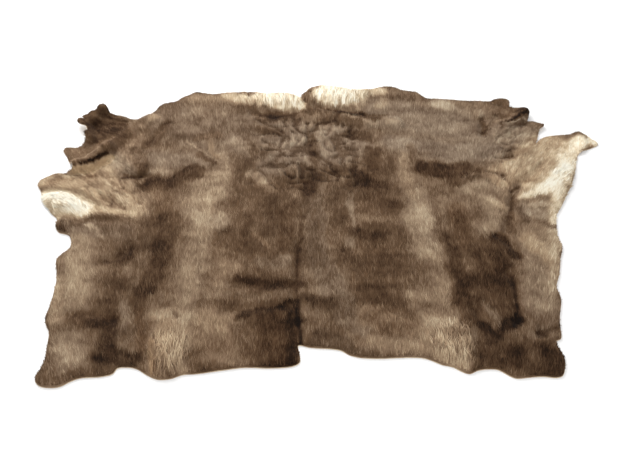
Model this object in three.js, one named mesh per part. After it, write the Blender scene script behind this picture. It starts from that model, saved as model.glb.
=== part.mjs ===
// A caribou hide with its hair on, lying hair side up. It is one piece: the tanned skin and the pile are one
// slab, flat where it rests, with the outline of the cut skin, locks of hair at its rim, folds where the leg
// skins curl up, and creases in its pile. Seen from above, the near end was cut straight across and the far
// end has the long pale hair of the tail and rump.

import * as THREE from "three";

// Driving sizes in millimetres
const BODY_DEPTH = 20;
const THINNEST = 4;
const RIM_DEPTH = 7;
const RIM_ROUND = 28;
const LOCK_SHARE = 0.22;
const SHORTEST_LOCK = 0.4;
const LUMP_HEIGHT = 2;
const LUMP_LENGTH = 230;
const LUMP_SLANT = 0.4;

// Spacing of the faceted surface's points. The body's points lie twice as far apart as those near folds.
const RIM_STEP = 17;
const RING_INSET = 13;
const RING_LEAST_INSET = 11;
const RING_LEAST_STEP = 12;
const INNER_INSET = 19;
const FOLD_STEP = 21;
const FOLD_MARGIN = 4;
const NUDGE = 3;
const RIM_ROUNDS = 8;
const FAR_AWAY = 20000;

const COAT = { color: "#7b6552", roughness: 0.92, metalness: 0 };

// A row of numbers under each column's name
function table(columns, ...rows) {
  return rows.map((row) => Object.fromEntries(columns.map((column, index) => [column, row[index]])));
}

// The outline, anticlockwise from the notch at the middle of the near end
const NEAR_RIGHT_CUT = table(["x", "y"],
  [-42, -374], [-10, -380], [40, -384], [62, -389], [82, -402], [105, -409], [145, -412], [258, -411],
  [300, -430], [325, -437], [345, -450], [362, -456], [384, -446], [428, -444], [456, -463], [470, -469],
  [500, -466], [535, -464], [562, -467], [578, -462]);

const RIGHT_FLANK = table(["x", "y"],
  [588, -440], [593, -416], [584, -380], [584, -360], [597, -354], [604, -310], [611, -278], [624, -230],
  [621, -190], [640, -138], [652, -90], [667, -44], [663, -12], [667, 30], [680, 85], [703, 123],
  [725, 167], [750, 212], [771, 262], [788, 316]);

const RIGHT_GROIN = table(["x", "y"],
  [804, 354], [822, 370], [850, 384], [876, 403], [861, 424], [848, 443], [835, 454], [812, 450],
  [770, 444], [735, 439], [710, 430], [694, 416], [682, 401]);

const RIGHT_HIND_LEG = table(["x", "y"],
  [692, 428], [700, 455], [706, 474], [724, 492], [711, 505], [697, 517], [678, 518], [680, 538],
  [682, 556], [676, 572], [660, 583], [637, 588], [638, 608], [632, 623], [617, 628], [599, 624]);

const FAR_RIGHT = table(["x", "y"],
  [575, 622], [535, 625], [490, 626], [440, 632], [400, 636], [366, 641], [350, 659], [338, 674],
  [316, 680], [288, 687], [268, 700], [244, 707], [216, 702], [180, 688], [140, 676], [108, 678],
  [78, 688], [45, 701], [15, 705], [-8, 697], [-24, 684], [-36, 662], [-48, 646]);

const FAR_LEFT = table(["x", "y"],
  [-42, 622], [-54, 634], [-78, 645], [-110, 650], [-155, 652], [-190, 660], [-232, 667], [-272, 672],
  [-305, 669], [-338, 663], [-370, 668], [-398, 675], [-418, 660], [-442, 642], [-458, 621], [-482, 614],
  [-502, 605], [-514, 585], [-527, 560], [-548, 541], [-574, 525]);

const LEFT_HIND_LEG = table(["x", "y"],
  [-606, 531], [-642, 539], [-668, 553], [-688, 565], [-704, 563], [-714, 543], [-731, 537], [-734, 521],
  [-747, 524], [-745, 506], [-738, 494], [-748, 502], [-758, 512], [-760, 492], [-746, 474], [-732, 466],
  [-723, 443], [-729, 433], [-722, 415], [-719, 398]);

const LEFT_GROIN = table(["x", "y"],
  [-728, 384], [-750, 382], [-768, 381], [-772, 367], [-759, 346], [-748, 322], [-735, 302], [-723, 286],
  [-722, 270], [-745, 260], [-770, 258], [-790, 246], [-808, 230], [-813, 212], [-804, 193], [-794, 175],
  [-789, 157], [-776, 138], [-760, 112], [-744, 88], [-726, 70], [-721, 52], [-720, 32], [-708, 15],
  [-690, 9]);

const LEFT_FLANK = table(["x", "y"],
  [-675, 0], [-663, -48], [-680, -74], [-690, -94], [-681, -130], [-673, -170], [-670, -250], [-671, -298],
  [-652, -338], [-647, -385], [-643, -420], [-648, -448], [-653, -474]);

const NEAR_LEFT_CUT = table(["x", "y"],
  [-640, -490], [-615, -495], [-592, -492], [-572, -479], [-552, -469], [-500, -464], [-476, -456],
  [-468, -441], [-440, -438], [-418, -444], [-396, -459], [-368, -472], [-338, -470], [-312, -459],
  [-278, -456], [-225, -447], [-165, -438], [-110, -440], [-52, -434], [-38, -424], [-39, -400]);

const OUTLINE = [NEAR_RIGHT_CUT, RIGHT_FLANK, RIGHT_GROIN, RIGHT_HIND_LEG, FAR_RIGHT, FAR_LEFT,
  LEFT_HIND_LEG, LEFT_GROIN, LEFT_FLANK, NEAR_LEFT_CUT].flat();

// Folds lift the whole sheet along a path of three points. They reach so far to each side, and their crests
// lean over by leanX and leanY.
const PATH = ["x1", "y1", "x2", "y2", "x3", "y3", "reach"];

const FOLDS = table(["name", ...PATH, "height", "leanX", "leanY"],
  ["lip over the hollow", -726, 284, -684, 302, -642, 362, 38, 40, 6, -20],
  ["ridge beside the left hind leg", -615, 388, -574, 460, -522, 512, 30, 16, -8, 4],
  ["left hind leg's curled end", -722, 420, -745, 490, -702, 562, 48, 30, 14, -6],
  ["left hind leg's far edge", -690, 560, -656, 546, -622, 536, 32, 12, 0, -4],
  ["lip of the left pocket", -590, 318, -560, 276, -505, 274, 26, 12, 0, -10],
  ["right ridge", 84, 524, 158, 490, 250, 486, 34, 14, 0, 8],
  ["right hind leg's roll", 586, 478, 636, 516, 668, 562, 32, 30, 4, -16],
  ["right hind leg's flap", 560, 446, 640, 466, 716, 486, 28, 10, 0, -4],
  ["right hind leg's far curl", 600, 622, 626, 618, 638, 594, 28, 13, -6, -6],
  ["turned tip of the right groin", 818, 450, 826, 410, 812, 368, 22, 8, 4, 0]);

// Creases and hollows sink the pile's top along the same kind of path
const LEFT_CREASES = table(["name", ...PATH, "depth"],
  ["hollow under the lip", -716, 262, -668, 274, -618, 330, 30, 10],
  ["left pocket", -562, 250, -535, 242, -505, 246, 26, 15],
  ["thigh valley", -470, 500, -506, 424, -520, 366, 24, 9],
  ["root of the left tuft", -792, 172, -690, 164, -618, 100, 22, 11],
  ["outer thigh wrinkle", -640, 172, -600, 124, -522, 62, 20, 6],
  ["inner thigh wrinkle", -598, 240, -566, 176, -500, 122, 20, 6],
  ["foot of the left tuft", -722, 74, -650, 46, -560, 56, 26, 8],
  ["left flank crease", -500, -62, -530, -92, -566, -112, 24, 7],
  ["left flank cross crease", -642, -286, -580, -282, -500, -292, 30, 8],
  ["left near valley", -506, -310, -494, -380, -472, -440, 28, 11],
  ["left clump's edge", -402, -286, -411, -370, -404, -446, 22, 9],
  ["upper left crease", -372, 388, -332, 344, -298, 312, 22, 7]);

const MIDDLE_CREASES = table(["name", ...PATH, "depth"],
  ["spine crease", -45, -40, -50, -220, -44, -390, 24, 13],
  ["far spine crease", -14, 420, -4, 300, -34, 60, 24, 6],
  ["upper cross crease", -212, -188, -130, -195, -62, -192, 28, 6],
  ["lower cross crease", -206, -272, -130, -262, -60, -256, 28, 7],
  ["gap under the left tail hair", -196, 552, -130, 548, -68, 556, 30, 15],
  ["gap under the right tail hair", 6, 590, 52, 574, 122, 554, 28, 16],
  ["valley behind the right ridge", 118, 552, 166, 536, 224, 540, 28, 11],
  ["rump pucker", -186, 522, -150, 482, -108, 466, 22, 7],
  ["loin pucker", -152, 402, -108, 372, -58, 382, 22, 7],
  ["right loin pucker", 22, 500, 46, 440, 62, 400, 22, 7],
  ["left back pucker", -128, 332, -92, 286, -64, 204, 22, 8],
  ["right back pucker", 38, 232, 78, 248, 122, 214, 24, 8]);

const RIGHT_CREASES = table(["name", ...PATH, "depth"],
  ["right hind leg valley", 540, 530, 528, 480, 522, 434, 22, 9],
  ["upper right crease", 604, 334, 562, 318, 518, 324, 22, 6],
  ["right groin crease", 562, 130, 592, 192, 682, 290, 22, 8],
  ["right groin pit", 518, 212, 532, 198, 556, 190, 24, 8],
  ["right flank valley", 560, 122, 544, 60, 526, 8, 24, 9],
  ["right flank scallop", 496, -8, 536, -54, 546, -88, 22, 9],
  ["right near valley", 506, -150, 520, -212, 500, -312, 26, 11],
  ["right clump's edge", 400, -268, 414, -312, 390, -410, 26, 8],
  ["right flank pit", 546, -352, 556, -334, 592, -336, 20, 9]);

const CREASES = [LEFT_CREASES, MIDDLE_CREASES, RIGHT_CREASES].flat();

// Where the hair is longer or shorter than on the body, the slab's depth there
const COAT_DEPTHS = table(["name", "x", "y", "reachX", "reachY", "depth"],
  ["left hind leg", -665, 470, 105, 95, 5],
  ["left groin's flap", -700, 335, 84, 56, 6],
  ["left groin", -735, 225, 90, 40, 14],
  ["left tuft", -715, 135, 95, 42, 32],
  ["knob under the left tuft", -700, 28, 26, 24, 30],
  ["right hind leg", 660, 535, 95, 95, 5],
  ["right groin", 800, 400, 100, 75, 8],
  ["right groin's white hair", 715, 235, 60, 90, 24],
  ["left tail hair", -120, 622, 95, 48, 36],
  ["right tail hair", 72, 645, 80, 55, 38],
  ["left near clump", -362, -410, 60, 70, 28],
  ["right near clump", 345, -390, 60, 70, 27],
  ["rump", -20, 400, 200, 130, 15]);

// A smooth hump from 1 at the middle to 0 at its reach
function hump(distance, reach) {
  return distance < reach ? 0.5 + 0.5 * Math.cos((Math.PI * distance) / reach) : 0;
}

// A repeatable number from 0 to 1 for a whole number
function uneven(index) {
  const wave = Math.sin(index * 12.9898 + 4.1) * 43758.5453;
  return wave - Math.floor(wave);
}

function distanceToSegment(x, y, x1, y1, x2, y2) {
  const alongX = x2 - x1;
  const alongY = y2 - y1;
  const share = ((x - x1) * alongX + (y - y1) * alongY) / (alongX * alongX + alongY * alongY);
  const t = Math.min(1, Math.max(0, share));
  return Math.hypot(x - x1 - t * alongX, y - y1 - t * alongY);
}

function distanceToPath(x, y, path) {
  const first = distanceToSegment(x, y, path.x1, path.y1, path.x2, path.y2);
  const second = distanceToSegment(x, y, path.x2, path.y2, path.x3, path.y3);
  return Math.min(first, second);
}

function distanceToRim(x, y, rim) {
  let nearest = Infinity;
  rim.forEach((point, index) => {
    const next = rim[(index + 1) % rim.length];
    nearest = Math.min(nearest, distanceToSegment(x, y, point.x, point.y, next.x, next.y));
  });
  return nearest;
}

function insideRim(x, y, rim) {
  let inside = false;
  rim.forEach((point, index) => {
    const next = rim[(index + 1) % rim.length];
    const crosses = point.y > y !== next.y > y;
    if (crosses && x < point.x + ((y - point.y) / (next.y - point.y)) * (next.x - point.x)) {
      inside = !inside;
    }
  });
  return inside;
}

// Where a point of the flat skin comes to lie: on the floor, or up on a fold
function liePoint(x, y) {
  const place = new THREE.Vector3(x, y, 0);
  for (const fold of FOLDS) {
    const share = hump(distanceToPath(x, y, fold), fold.reach);
    place.x += fold.leanX * share;
    place.y += fold.leanY * share;
    place.z += fold.height * share;
  }
  return place;
}

function lieNormal(x, y) {
  const step = 0.5;
  const alongX = liePoint(x + step, y).sub(liePoint(x - step, y));
  const alongY = liePoint(x, y + step).sub(liePoint(x, y - step));
  return alongX.cross(alongY).normalize();
}

// The slab's depth away from its rim: the coat's length there, with soft lumps, less the creases
function coatDepth(x, y) {
  let depth = BODY_DEPTH;
  for (const area of COAT_DEPTHS) {
    const away = Math.hypot((x - area.x) / area.reachX, (y - area.y) / area.reachY);
    depth += (area.depth - BODY_DEPTH) * Math.exp(-away * away);
  }
  const turn = (2 * Math.PI) / LUMP_LENGTH;
  depth += LUMP_HEIGHT * Math.sin(turn * (x + LUMP_SLANT * y)) * Math.sin(turn * (y - LUMP_SLANT * x));
  for (const crease of CREASES) {
    depth -= crease.depth * hump(distanceToPath(x, y, crease), crease.reach);
  }
  return Math.max(THINNEST, depth);
}

// The depth with the pile rounded down to its rim
function slabDepth(x, y, rim) {
  const full = coatDepth(x, y);
  const low = Math.min(full, RIM_DEPTH);
  const left = 1 - Math.min(1, distanceToRim(x, y, rim) / RIM_ROUND);
  return low + (full - low) * Math.sqrt(1 - left * left);
}

// The cut edge of the skin: a smooth line through the outline's points, with more points where they are far
// apart
function skinRim() {
  const corners = OUTLINE.map((point) => new THREE.Vector3(point.x, point.y, 0));
  const line = new THREE.CatmullRomCurve3(corners, true, "centripetal");
  const rim = [];
  corners.forEach((corner, index) => {
    const next = corners[(index + 1) % corners.length];
    const steps = Math.max(1, Math.round(corner.distanceTo(next) / RIM_STEP));
    for (let step = 0; step < steps; step += 1) {
      rim.push(line.getPoint((index + step / steps) / corners.length));
    }
  });
  return rim;
}

function outwardAt(rim, index) {
  const before = rim[(index + rim.length - 1) % rim.length];
  const after = rim[(index + 1) % rim.length];
  return new THREE.Vector3(after.y - before.y, before.x - after.x, 0).normalize();
}

// Every second point of the rim is the tip of a lock of hair, where there is room for one
function addLocks(rim) {
  return rim.map((point, index) => {
    const length = LOCK_SHARE * coatDepth(point.x, point.y) * (SHORTEST_LOCK + uneven(index));
    const outward = outwardAt(rim, index);
    const ahead = point.clone().addScaledVector(outward, 2 * length);
    const roomy = distanceToRim(ahead.x, ahead.y, rim) > 1.5 * length && !insideRim(ahead.x, ahead.y, rim);
    return index % 2 === 1 && roomy ? point.clone().addScaledVector(outward, length) : point.clone();
  });
}

// A row of points just inside the rim, where the pile has nearly its full depth
function innerRing(rim) {
  const ring = [];
  rim.forEach((point, index) => {
    const spot = point.clone().addScaledVector(outwardAt(rim, index), -RING_INSET);
    const roomy = distanceToRim(spot.x, spot.y, rim) > RING_LEAST_INSET;
    const apart = ring.every((other) => other.distanceTo(spot) > RING_LEAST_STEP);
    if (roomy && apart && insideRim(spot.x, spot.y, rim)) {
      ring.push(spot);
    }
  });
  return ring;
}

function nearFold(x, y) {
  return [...FOLDS, ...CREASES].some((path) => distanceToPath(x, y, path) < path.reach + FOLD_MARGIN);
}

// Points all over the inside in staggered rows. Away from folds only every second one of every second row
// is kept.
function innerPoints(rim, ring) {
  const box = new THREE.Box3().setFromPoints(rim);
  const rise = FOLD_STEP * Math.sqrt(0.75);
  const rows = Math.ceil((box.max.y - box.min.y) / rise);
  const columns = Math.ceil((box.max.x - box.min.x) / FOLD_STEP);
  const points = [];
  for (let row = 0; row < rows; row += 1) {
    for (let column = 0; column < columns; column += 1) {
      const nudge = NUDGE * (uneven(row * columns + column) - 0.5);
      const x = box.min.x + (column + (row % 2) / 2) * FOLD_STEP + nudge;
      const y = box.min.y + row * rise - nudge;
      const fine = nearFold(x, y);
      const sparse = row % 2 === 0 && (column + row / 2) % 2 === 0;
      const clear = fine ? FOLD_STEP / 2 : FOLD_STEP;
      const apart = ring.every((other) => Math.hypot(other.x - x, other.y - y) > clear);
      const inside = insideRim(x, y, rim) && distanceToRim(x, y, rim) > INNER_INSET;
      if ((fine || sparse) && apart && inside) {
        points.push(new THREE.Vector3(x, y, 0));
      }
    }
  }
  return points;
}

// A triangle with the circle through its corners
function circled(points, a, b, c) {
  const [p, q, r] = [points[a], points[b], points[c]];
  const qx = q.x - p.x;
  const qy = q.y - p.y;
  const rx = r.x - p.x;
  const ry = r.y - p.y;
  const area = 2 * (qx * ry - qy * rx);
  const x = (ry * (qx * qx + qy * qy) - qy * (rx * rx + ry * ry)) / area;
  const y = (qx * (rx * rx + ry * ry) - rx * (qx * qx + qy * qy)) / area;
  const corners = area > 0 ? [a, b, c] : [a, c, b];
  return { corners, x: p.x + x, y: p.y + y, radius2: x * x + y * y };
}

// Joins points into triangles whose circles hold no other point
function joinPoints(points) {
  const around = [new THREE.Vector3(-1, -1, 0), new THREE.Vector3(1, -1, 0), new THREE.Vector3(0, 1, 0)];
  const all = [...points, ...around.map((corner) => corner.multiplyScalar(FAR_AWAY))];
  let triangles = [circled(all, points.length, points.length + 1, points.length + 2)];
  points.forEach((point, index) => {
    const kept = [];
    const edges = new Map();
    for (const triangle of triangles) {
      const gap2 = (point.x - triangle.x) ** 2 + (point.y - triangle.y) ** 2;
      if (gap2 > triangle.radius2) {
        kept.push(triangle);
        continue;
      }
      triangle.corners.forEach((from, corner) => {
        const to = triangle.corners[(corner + 1) % 3];
        if (!edges.delete(`${to},${from}`)) {
          edges.set(`${from},${to}`, [from, to]);
        }
      });
    }
    for (const [from, to] of edges.values()) {
      kept.push(circled(all, from, to, index));
    }
    triangles = kept;
  });
  return triangles.map((triangle) => triangle.corners).filter((three) => Math.max(...three) < points.length);
}

// Puts a point in the middle of each rim edge that no triangle has. Says whether there was one.
function splitMissedEdges(rim, triangles) {
  const edges = new Set(triangles.flatMap(([a, b, c]) => [`${a},${b}`, `${b},${c}`, `${c},${a}`]));
  const whole = rim.flatMap((point, index) => {
    const next = (index + 1) % rim.length;
    const middle = point.clone().lerp(rim[next], 0.5);
    return edges.has(`${index},${next}`) ? [point] : [point, middle];
  });
  const missed = whole.length > rim.length;
  rim.splice(0, rim.length, ...whole);
  return missed;
}

// The flat skin cut into triangles: its points, with the rim's first, and three corners a triangle
function flatSkin(cut) {
  const ring = innerRing(cut);
  const inner = [...ring, ...innerPoints(cut, ring)];
  const rim = addLocks(cut);
  for (let round = 0; round < RIM_ROUNDS; round += 1) {
    const points = [...rim, ...inner];
    const triangles = joinPoints(points);
    if (!splitMissedEdges(rim, triangles)) {
      const kept = triangles.filter((corners) => {
        const x = corners.reduce((sum, corner) => sum + points[corner].x / 3, 0);
        const y = corners.reduce((sum, corner) => sum + points[corner].y / 3, 0);
        return insideRim(x, y, rim);
      });
      return { points, rimCount: rim.length, triangles: kept };
    }
  }
  throw new Error("the rim of the hide can't be joined");
}

// The hide as a closed slab: the skin's underside, the top of its pile and the wall at its rim
function hideGeometry() {
  const cut = skinRim();
  const { points, rimCount, triangles } = flatSkin(cut);
  const under = points.map((point) => liePoint(point.x, point.y));
  const top = points.map((point, index) => {
    const depth = slabDepth(point.x, point.y, cut);
    return under[index].clone().addScaledVector(lieNormal(point.x, point.y), depth);
  });
  const corners = [];
  for (const [a, b, c] of triangles) {
    corners.push(top[a], top[b], top[c], under[a], under[c], under[b]);
  }
  for (let index = 0; index < rimCount; index += 1) {
    const next = (index + 1) % rimCount;
    corners.push(under[index], under[next], top[next], under[index], top[next], top[index]);
  }
  const geometry = new THREE.BufferGeometry().setFromPoints(corners);
  geometry.computeVertexNormals();
  return geometry;
}

// Moves the hide so that its origin is the middle of its box, on the floor
function centre(geometry) {
  geometry.computeBoundingBox();
  const middle = geometry.boundingBox.getCenter(new THREE.Vector3());
  return geometry.translate(-middle.x, -middle.y, -geometry.boundingBox.min.z);
}

function makeHide() {
  const hide = new THREE.Mesh(centre(hideGeometry()), new THREE.MeshStandardMaterial(COAT));
  hide.name = "hide";
  return hide;
}

const group = new THREE.Group();
group.add(makeHide());

export default group;
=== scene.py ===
"""Looks of a tanned caribou hide with its hair on, lying hair side up.

The skin is one thin sheet on its folds. On it stands a dense undercoat with the coat's creases, and over that
lie combed locks of hair, with longer bent ones at the tail, the tufts and the rim. Sizes are in millimetres
until a mesh is made. Places are in plan, seen from above, round the plan's own origin, and each mesh moves by
PLAN_MIDDLE to the frame's origin.
"""

import logging
import math
from dataclasses import dataclass, field
from enum import Enum
from typing import Any

import bpy
import numpy as np
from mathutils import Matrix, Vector
from mathutils.geometry import delaunay_2d_cdt


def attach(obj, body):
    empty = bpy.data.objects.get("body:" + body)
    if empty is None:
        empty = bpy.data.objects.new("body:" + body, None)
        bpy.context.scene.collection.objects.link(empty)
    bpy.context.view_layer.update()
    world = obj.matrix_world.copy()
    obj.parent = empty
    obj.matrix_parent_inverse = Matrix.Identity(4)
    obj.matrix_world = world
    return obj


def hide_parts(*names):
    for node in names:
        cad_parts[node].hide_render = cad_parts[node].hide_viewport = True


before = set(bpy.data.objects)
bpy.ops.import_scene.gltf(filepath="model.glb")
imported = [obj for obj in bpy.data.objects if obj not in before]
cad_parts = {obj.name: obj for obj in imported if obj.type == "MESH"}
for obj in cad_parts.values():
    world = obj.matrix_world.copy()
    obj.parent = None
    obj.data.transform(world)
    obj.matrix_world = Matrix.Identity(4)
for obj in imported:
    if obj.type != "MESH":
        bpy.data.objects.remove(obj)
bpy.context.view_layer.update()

LOG = logging.getLogger("hide")

MM = 0.001

# Driving sizes in millimetres, as in the solid
PLAN_MIDDLE = (30.65, 106.38)
BODY_DEPTH = 20
RIM_DEPTH = 7
RIM_ROUND = 28
LUMP_HEIGHT = 2
LUMP_LENGTH = 230
LUMP_SLANT = 0.4

# The coat at its thinnest, which is 4 in the solid, and the skin under it
THINNEST = 6.5
SKIN_DEPTH = 2

# The height at which a place shows where it is in plan. What is higher shows farther from the near end.
PLAN_HEIGHT = 10

Row = dict[str, Any]
Rows = list[Row]


def table(columns: str, *rows: tuple) -> Rows:
    """Names the values of each row after columns whose names are parted by spaces."""
    return [dict(zip(columns.split(), row)) for row in rows]


# The outline of the cut skin, anticlockwise from the notch at the middle of the near end
NEAR_RIGHT_CUT = table("x y",
    (-42, -374), (-10, -380), (40, -384), (62, -389), (82, -402), (105, -409), (145, -412), (258, -411),
    (300, -430), (325, -437), (345, -450), (362, -456), (384, -446), (428, -444), (456, -463), (470, -469),
    (500, -466), (535, -464), (562, -467), (578, -462))
RIGHT_FLANK = table("x y",
    (588, -440), (593, -416), (584, -380), (584, -360), (597, -354), (604, -310), (611, -278), (624, -230),
    (621, -190), (640, -138), (652, -90), (667, -44), (663, -12), (667, 30), (680, 85), (703, 123),
    (725, 167), (750, 212), (771, 262), (788, 316))
RIGHT_GROIN = table("x y",
    (804, 354), (822, 370), (850, 384), (876, 403), (861, 424), (848, 443), (835, 454), (812, 450),
    (770, 444), (735, 439), (710, 430), (694, 416), (682, 401))
RIGHT_HIND_LEG = table("x y",
    (692, 428), (700, 455), (706, 474), (724, 492), (711, 505), (697, 517), (678, 518), (680, 538),
    (682, 556), (676, 572), (660, 583), (637, 588), (638, 608), (632, 623), (617, 628), (599, 624))
FAR_RIGHT = table("x y",
    (575, 622), (535, 625), (490, 626), (440, 632), (400, 636), (366, 641), (350, 659), (338, 674),
    (316, 680), (288, 687), (268, 700), (244, 707), (216, 702), (180, 688), (140, 676), (108, 678),
    (78, 688), (45, 701), (15, 705), (-8, 697), (-24, 684), (-36, 662), (-48, 646))
FAR_LEFT = table("x y",
    (-42, 622), (-54, 634), (-78, 645), (-110, 650), (-155, 652), (-190, 660), (-232, 667), (-272, 672),
    (-305, 669), (-338, 663), (-370, 668), (-398, 675), (-418, 660), (-442, 642), (-458, 621), (-482, 614),
    (-502, 605), (-514, 585), (-527, 560), (-548, 541), (-574, 525))
LEFT_HIND_LEG = table("x y",
    (-606, 531), (-642, 539), (-668, 553), (-688, 565), (-704, 563), (-714, 543), (-731, 537), (-734, 521),
    (-747, 524), (-745, 506), (-738, 494), (-748, 502), (-758, 512), (-760, 492), (-746, 474), (-732, 466),
    (-723, 443), (-729, 433), (-722, 415), (-719, 398))
LEFT_GROIN = table("x y",
    (-728, 384), (-750, 382), (-768, 381), (-772, 367), (-759, 346), (-748, 322), (-735, 302), (-723, 286),
    (-722, 270), (-745, 260), (-770, 258), (-790, 246), (-808, 230), (-813, 212), (-804, 193), (-794, 175),
    (-789, 157), (-776, 138), (-760, 112), (-744, 88), (-726, 70), (-721, 52), (-720, 32), (-708, 15),
    (-690, 9))
LEFT_FLANK = table("x y",
    (-675, 0), (-663, -48), (-680, -74), (-690, -94), (-681, -130), (-673, -170), (-670, -250), (-671, -298),
    (-652, -338), (-647, -385), (-643, -420), (-648, -448), (-653, -474))
NEAR_LEFT_CUT = table("x y",
    (-640, -490), (-615, -495), (-592, -492), (-572, -479), (-552, -469), (-500, -464), (-476, -456),
    (-468, -441), (-440, -438), (-418, -444), (-396, -459), (-368, -472), (-338, -470), (-312, -459),
    (-278, -456), (-225, -447), (-165, -438), (-110, -440), (-52, -434), (-38, -424), (-39, -400))
OUTLINE = [*NEAR_RIGHT_CUT, *RIGHT_FLANK, *RIGHT_GROIN, *RIGHT_HIND_LEG, *FAR_RIGHT, *FAR_LEFT,
           *LEFT_HIND_LEG, *LEFT_GROIN, *LEFT_FLANK, *NEAR_LEFT_CUT]

# A path runs through three points and reaches so far to each side
PATH = "name x1 y1 x2 y2 x3 y3 reach "

# Folds lift the whole sheet, and their crests lean over
FOLDS = table(PATH + "height lean_x lean_y",
    ("lip over the hollow", -726, 284, -684, 302, -642, 362, 38, 40, 6, -20),
    ("ridge beside the left hind leg", -615, 388, -574, 460, -522, 512, 30, 16, -8, 4),
    ("left hind leg's curled end", -722, 420, -745, 490, -702, 562, 48, 30, 14, -6),
    ("left hind leg's far edge", -690, 560, -656, 546, -622, 536, 32, 12, 0, -4),
    ("lip of the left pocket", -634, 372, -578, 332, -522, 268, 30, 12, 0, -4),
    ("right ridge", 84, 524, 158, 490, 250, 486, 34, 14, 0, 8),
    ("right hind leg's roll", 586, 478, 636, 516, 668, 562, 32, 30, 4, -16),
    ("right hind leg's flap", 560, 446, 640, 466, 716, 486, 28, 10, 0, -4),
    ("right hind leg's far curl", 600, 622, 626, 618, 638, 594, 28, 13, -6, -6),
    ("turned tip of the right groin", 818, 450, 826, 410, 812, 368, 22, 8, 4, 0))

# Creases and hollows sink the coat's top, and painted shade darkens the hair in each
CREASES = table(PATH + "depth",
    ("hollow under the lip", -716, 262, -668, 274, -618, 330, 30, 10),
    ("left pocket", -562, 250, -535, 242, -505, 246, 26, 15),
    ("thigh valley", -470, 500, -506, 424, -520, 366, 24, 9),
    ("root of the left tuft", -792, 172, -690, 164, -618, 100, 22, 11),
    ("outer groin wrinkle", -640, 172, -600, 124, -522, 62, 20, 6),
    ("inner groin wrinkle", -598, 240, -566, 176, -500, 122, 20, 6),
    ("foot of the left tuft", -722, 74, -650, 46, -560, 56, 26, 8),
    ("left flank crease", -500, -62, -530, -92, -566, -112, 24, 7),
    ("left flank cross crease", -642, -286, -580, -282, -500, -292, 30, 8),
    ("left near valley", -506, -310, -494, -380, -472, -440, 28, 11),
    ("left clump's edge", -402, -286, -411, -370, -404, -446, 22, 9),
    ("upper left crease", -372, 388, -332, 344, -298, 312, 22, 7),
    ("spine crease", -45, -40, -50, -220, -44, -390, 24, 13),
    ("far spine crease", -14, 420, -4, 300, -34, 60, 24, 6),
    ("upper cross crease", -212, -188, -130, -195, -62, -192, 28, 6),
    ("lower cross crease", -206, -272, -130, -262, -60, -256, 28, 7),
    ("gap under the left tail hair", -196, 552, -130, 548, -68, 556, 30, 15),
    ("gap under the right tail hair", 6, 590, 52, 574, 122, 554, 28, 16),
    ("valley behind the right ridge", 118, 552, 166, 536, 224, 540, 28, 11),
    ("rump pucker", -186, 522, -150, 482, -108, 466, 22, 7),
    ("left rump pucker", -152, 402, -108, 372, -58, 382, 22, 7),
    ("right rump pucker", 22, 500, 46, 440, 62, 400, 22, 7),
    ("left back pucker", -128, 332, -92, 286, -64, 204, 22, 8),
    ("right back pucker", 38, 232, 78, 248, 122, 214, 24, 8),
    ("right hind leg valley", 540, 530, 528, 480, 522, 434, 22, 9),
    ("upper right crease", 604, 334, 562, 318, 518, 324, 22, 6),
    ("right groin crease", 562, 130, 592, 192, 682, 290, 22, 8),
    ("right stifle pit", 518, 212, 532, 198, 556, 190, 24, 8),
    ("right flank valley", 560, 122, 544, 60, 526, 8, 24, 9),
    ("right flank scallop", 496, -8, 536, -54, 546, -88, 22, 9),
    ("right near valley", 506, -150, 520, -212, 500, -312, 26, 11),
    ("right clump's edge", 400, -268, 414, -312, 390, -410, 26, 8),
    ("right flank pit", 546, -352, 556, -334, 592, -336, 20, 9))
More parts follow.
